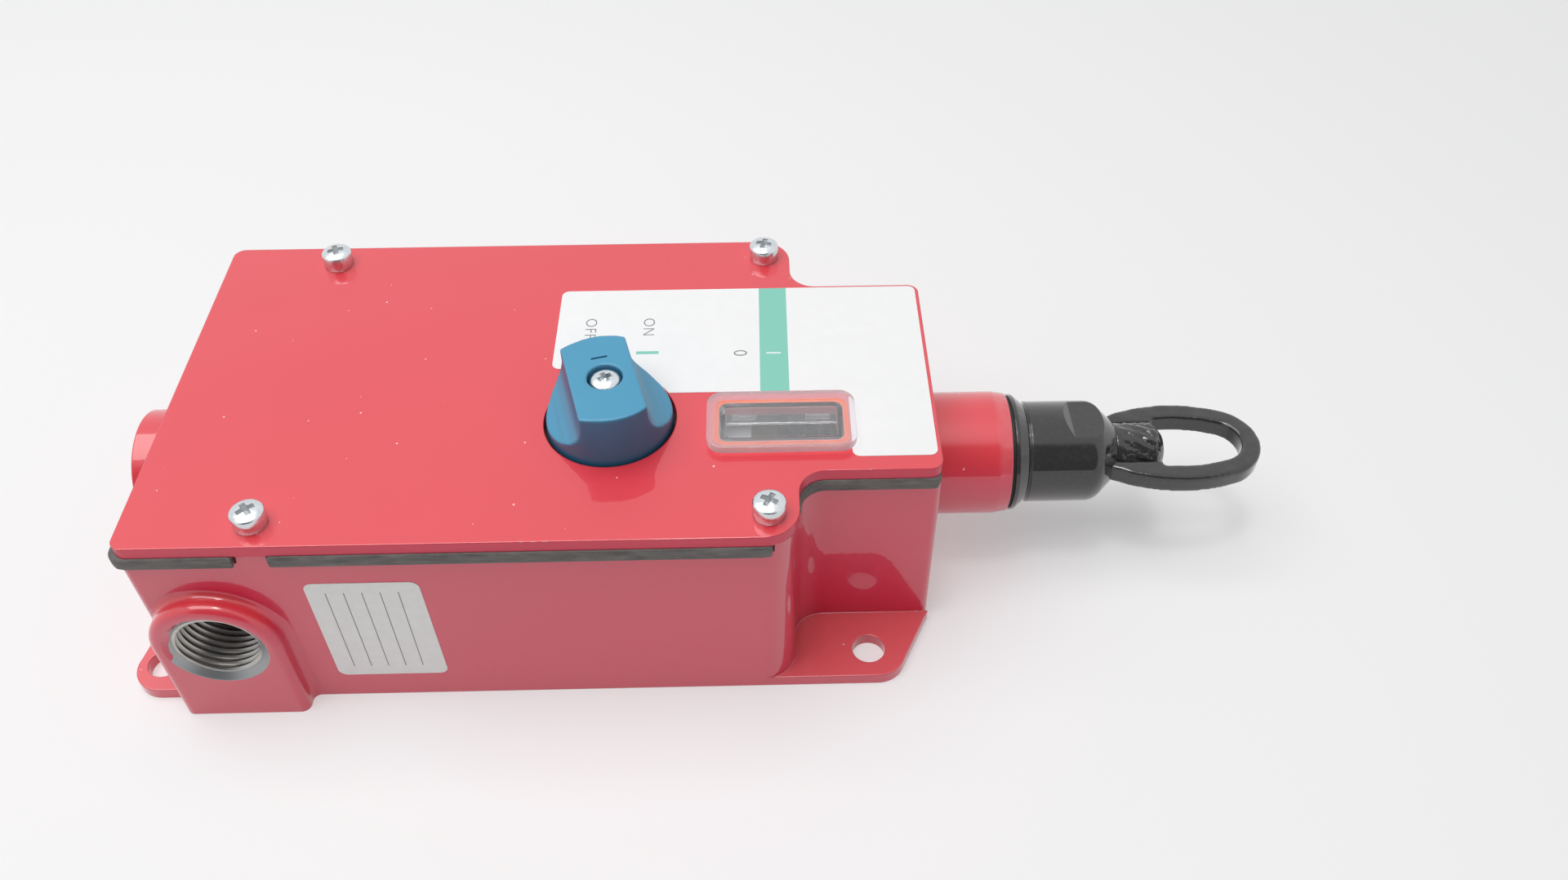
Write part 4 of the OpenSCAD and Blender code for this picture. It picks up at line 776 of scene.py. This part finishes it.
# its screw: a zinc-plated pan head with the same recess, nearly level with the top
seat = knob_top - 3.4
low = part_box("knob_screw")[0].z / MM
pan = turned([
    (0, seat + 3.3), (0.9, seat + 3.27), (1.8, seat + 3.18), (2.6, seat + 3.0), (3.3, seat + 2.7),
    (3.7, seat + 2.3), (3.9, seat + 1.8), (3.9, seat + 0.2), (3.75, seat + 0.02),
    (1.9, seat + 0.02), (1.9, low + 0.5), (1.5, low), (0, low),
], steps=48)
pan = carve(pan, cross_recess(4.6, 2.0, 1.5, seat + 3.1))
place = Matrix.Translation(KNOB_AXIS) @ Matrix.Rotation(math.radians(32), 4, "Z")
bmesh.ops.transform(pan, matrix=place, verts=pan.verts)
pan_piece = finish_mesh(pan, "knob_pan_screw", plated, body="reset", smooth=40)
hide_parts("knob_screw")

# ---------------------------------------------------------------------------
# Pull rod end: a turned steel sleeve with spanner flats, a rubber seal behind
# it, and a forged ring welded to a stud. All brush-dipped in black enamel.
# ---------------------------------------------------------------------------

# Black enamel on turned and forged steel: deep gloss in soft lumps of 3 mm, with
# a light veil of grey dust in 1 mm grains.
black, tree, where = start("black_dipped_enamel")
lumps = add(tree, "TexNoise", {"Scale": 320.0, "Detail": 3.0, "Roughness": 0.55}, {"Vector": where})
dust = add(tree, "TexNoise", {"Scale": 900.0, "Detail": 4.0, "Roughness": 0.7}, {"Vector": where})
dust_patch = add(tree, "MapRange", {"From Min": 0.5, "From Max": 0.8, "To Min": 0.0, "To Max": 0.25},
                 {"Value": dust.outputs[0]})
colour = add(tree, "Mix", {"data_type": "RGBA", 6: linear("#323131"), 7: linear("#606060")},
             {0: dust_patch.outputs[0]})
rough = add(tree, "MapRange", {"From Min": 0.3, "From Max": 0.7, "To Min": 0.08, "To Max": 0.18},
            {"Value": lumps.outputs[0]})
soft_edge = add(tree, "Bevel", {"samples": 8, "Radius": 0.6 * MM})
skin_bump = add(tree, "Bump", {"Strength": 0.07, "Distance": 0.15 * MM},
                {"Height": lumps.outputs[0], "Normal": soft_edge.outputs[0]})
skin = add(tree, "BsdfPrincipled",
           {"Specular IOR Level": 0.15, "Coat Weight": 1.0, "Coat Roughness": 0.03, "Coat IOR": 1.55},
           {"Base Color": colour.outputs[2], "Roughness": rough.outputs[0],
            "Normal": skin_bump.outputs[0], "Coat Normal": skin_bump.outputs[0]})
add(tree, "OutputMaterial", (), {"Surface": skin.outputs[0]})
dress("sleeve", black)

# the stud: weld ripples run slantwise round it, under the enamel
STUD_START, STUD_STOP, DRESSED_FROM = 157.6, 169.2, 164
stud = soften("eye_stud", 0.26, 3)
for v in stud.verts:
    away = Vector((0, v.co.y, v.co.z - ROD_Z))
    reach = ramp((v.co.x - STUD_START) / 1.5) * ramp((STUD_STOP - v.co.x) / 1.5)
    if reach > 0 and away.length > 6.0:
        round_at = math.atan2(away.z, away.y)
        ripple = math.sin(round_at * 15 - v.co.x * 1.0 + 1.5 * noise.noise(v.co * 0.3))
        lump = noise.noise(Vector((v.co.x * 1.3, away.y * 1.3, away.z * 1.3)))
        v.co += away.normalized() * reach * (0.13 * ripple + 0.20 * lump - 0.20)
    if v.co.x > DRESSED_FROM:  # the end is dressed off a little
        v.co.x = DRESSED_FROM + (v.co.x - DRESSED_FROM) * 0.86
stud_piece = finish_mesh(stud, "welded_stud", black, body="pull_rod", smooth=60)
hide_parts("eye_stud")

# the ring: a flat forging with rounded edges, not quite even
NOSE_X = 157.2  # end of the sleeve
ring = soften("eye_ring", 0.34, 6)
for v in ring.verts:
    v.co.z += 0.10 * noise.noise(Vector((v.co.x * 0.25, v.co.y * 0.25, 0.0)))
    v.co.z += 0.6 * max(v.co.z - ROD_Z, 0)  # forged fuller above the axis
    into_nose = max(NOSE_X - v.co.x, 0)  # the bars run on into the sleeve
    v.co.x -= 3.0 * into_nose
    v.co.y *= 1 - 0.10 * ramp(into_nose)
ring_piece = finish_mesh(ring, "forged_ring", black, body="pull_rod", smooth=60)
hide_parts("eye_ring")

# ---------------------------------------------------------------------------
# Working parts inside: plated and turned steel, spring wire, brass, bronze
# and moulded plastics, screwed to one plate. Each keeps its maker's finish.
# ---------------------------------------------------------------------------

# name: darker hex, paler hex, metallic, roughness low and high, grain per metre, grain stretch, bump
INSIDE = {
    # bright pressed plate, faint spangle
    "zinc_plated_sheet": ("#A9ADB0", "#D3D8DA", 1.0, 0.22, 0.40, 700.0, (1, 1, 1), 0.12),
    # the green earth screw
    "green_passivated_screw": ("#2E6B3C", "#4F9A5F", 0.6, 0.25, 0.40, 900.0, (1, 1, 1), 0.10),
    # fine lines round the rod
    "ground_bright_steel": ("#9FA3A8", "#CDD1D5", 1.0, 0.14, 0.30, 1400.0, (0.08, 1, 1), 0.08),
    # dark drawn wire with an oil shine
    "oiled_spring_wire": ("#4C4F52", "#7C8084", 1.0, 0.22, 0.38, 1100.0, (1, 1, 1), 0.10),
    # dull gold, finely porous
    "sintered_bronze": ("#7E5B2E", "#B08A4E", 1.0, 0.38, 0.55, 2400.0, (1, 1, 1), 0.30),
    # yellow terminal heads
    "turned_brass": ("#B0903F", "#DCC173", 1.0, 0.18, 0.32, 1200.0, (1, 1, 1), 0.08),
    # satin switch bodies, spark grain
    "black_moulded_polyester": ("#1B1C1E", "#303236", 0.0, 0.38, 0.55, 2000.0, (1, 1, 1), 0.18),
    # waxy, slightly see-through look
    "cream_moulded_acetal": ("#CDC5A8", "#DFD8BF", 0.0, 0.30, 0.42, 300.0, (1, 1, 1), 0.06),
    # satin grey indicator
    "grey_moulded_plate": ("#8B8A8E", "#A3A2A6", 0.0, 0.35, 0.50, 1500.0, (1, 1, 1), 0.10),
    # small red switch plungers
    "red_moulded_plunger": ("#B02A2C", "#CC4444", 0.0, 0.32, 0.45, 1500.0, (1, 1, 1), 0.08),
    # greased, dull black
    "black_seal_rubber": ("#161616", "#2A2A2A", 0.0, 0.50, 0.70, 1300.0, (1, 1, 1), 0.15),
}
WEARS = {
    "zinc_plated_sheet": ("mech_plate", "plate_screws", "bush_screws", "switch_screws"),
    "green_passivated_screw": ("ground_screw",),
    "ground_bright_steel": ("pull_shaft", "cam_pin", "spring_collar", "spindle", "reset_crank",
                            "latch_bolt"),
    "oiled_spring_wire": ("spindle_clip",),
    "sintered_bronze": ("guide_bush",),
    "turned_brass": ("terminal_screws",),
    "black_moulded_polyester": ("switch_near", "switch_far", "latch_guide", "knob_bush"),
    "cream_moulded_acetal": ("cam_slide",),
    "grey_moulded_plate": ("indicator_flag",),
    "red_moulded_plunger": ("plunger_near", "plunger_far"),
    "black_seal_rubber": ("wiper_ring", "spindle_seal", "face_seal"),
}
for name, (dark, pale, metallic, smooth_end, rough_end, scale, stretch, bump) in INSIDE.items():
    made, tree, where = start(name)
    drawn = add(tree, "Mapping", {"Scale": stretch}, {"Vector": where})
    grain = add(tree, "TexNoise", {"Scale": scale, "Detail": 3.0}, {"Vector": drawn.outputs[0]})
    cloud = add(tree, "TexNoise", {"Scale": 60.0, "Detail": 2.0}, {"Vector": where})
    colour = add(tree, "Mix", {"data_type": "RGBA", 6: linear(dark), 7: linear(pale)},
                 {0: cloud.outputs[0]})
    rough = add(tree, "MapRange", {"To Min": smooth_end, "To Max": rough_end}, {"Value": grain.outputs[0]})
    edges = add(tree, "Bevel", {"samples": 4, "Radius": 0.25 * MM})
    relief = add(tree, "Bump", {"Strength": bump, "Distance": 0.05 * MM},
                 {"Height": grain.outputs[0], "Normal": edges.outputs[0]})
    skin = add(tree, "BsdfPrincipled", {"Metallic": metallic},
               {"Base Color": colour.outputs[2], "Roughness": rough.outputs[0],
                "Normal": relief.outputs[0]})
    add(tree, "OutputMaterial", (), {"Surface": skin.outputs[0]})
    for node in WEARS[name]:
        dress(node, made)

# ---------------------------------------------------------------------------
# Main spring: cold-coiled from drawn wire, pressed between the guide bush and
# the collar on the rod. In use it shortens as the rod is pulled out; this piece is one fixed copy of the
# coil.
# ---------------------------------------------------------------------------

low, high = (corner.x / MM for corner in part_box("main_spring"))
coil = bmesh.new()
coil.from_mesh(cad["main_spring"].data)
bmesh.ops.scale(coil, vec=(1 / MM, 1 / MM, 1 / MM), verts=coil.verts)
bmesh.ops.remove_doubles(coil, verts=coil.verts, dist=1e-3)
coil_piece = finish_mesh(coil, "coiled_main_spring", bpy.data.materials["oiled_spring_wire"],
                         smooth=60)
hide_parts("main_spring")
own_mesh(coil_piece)
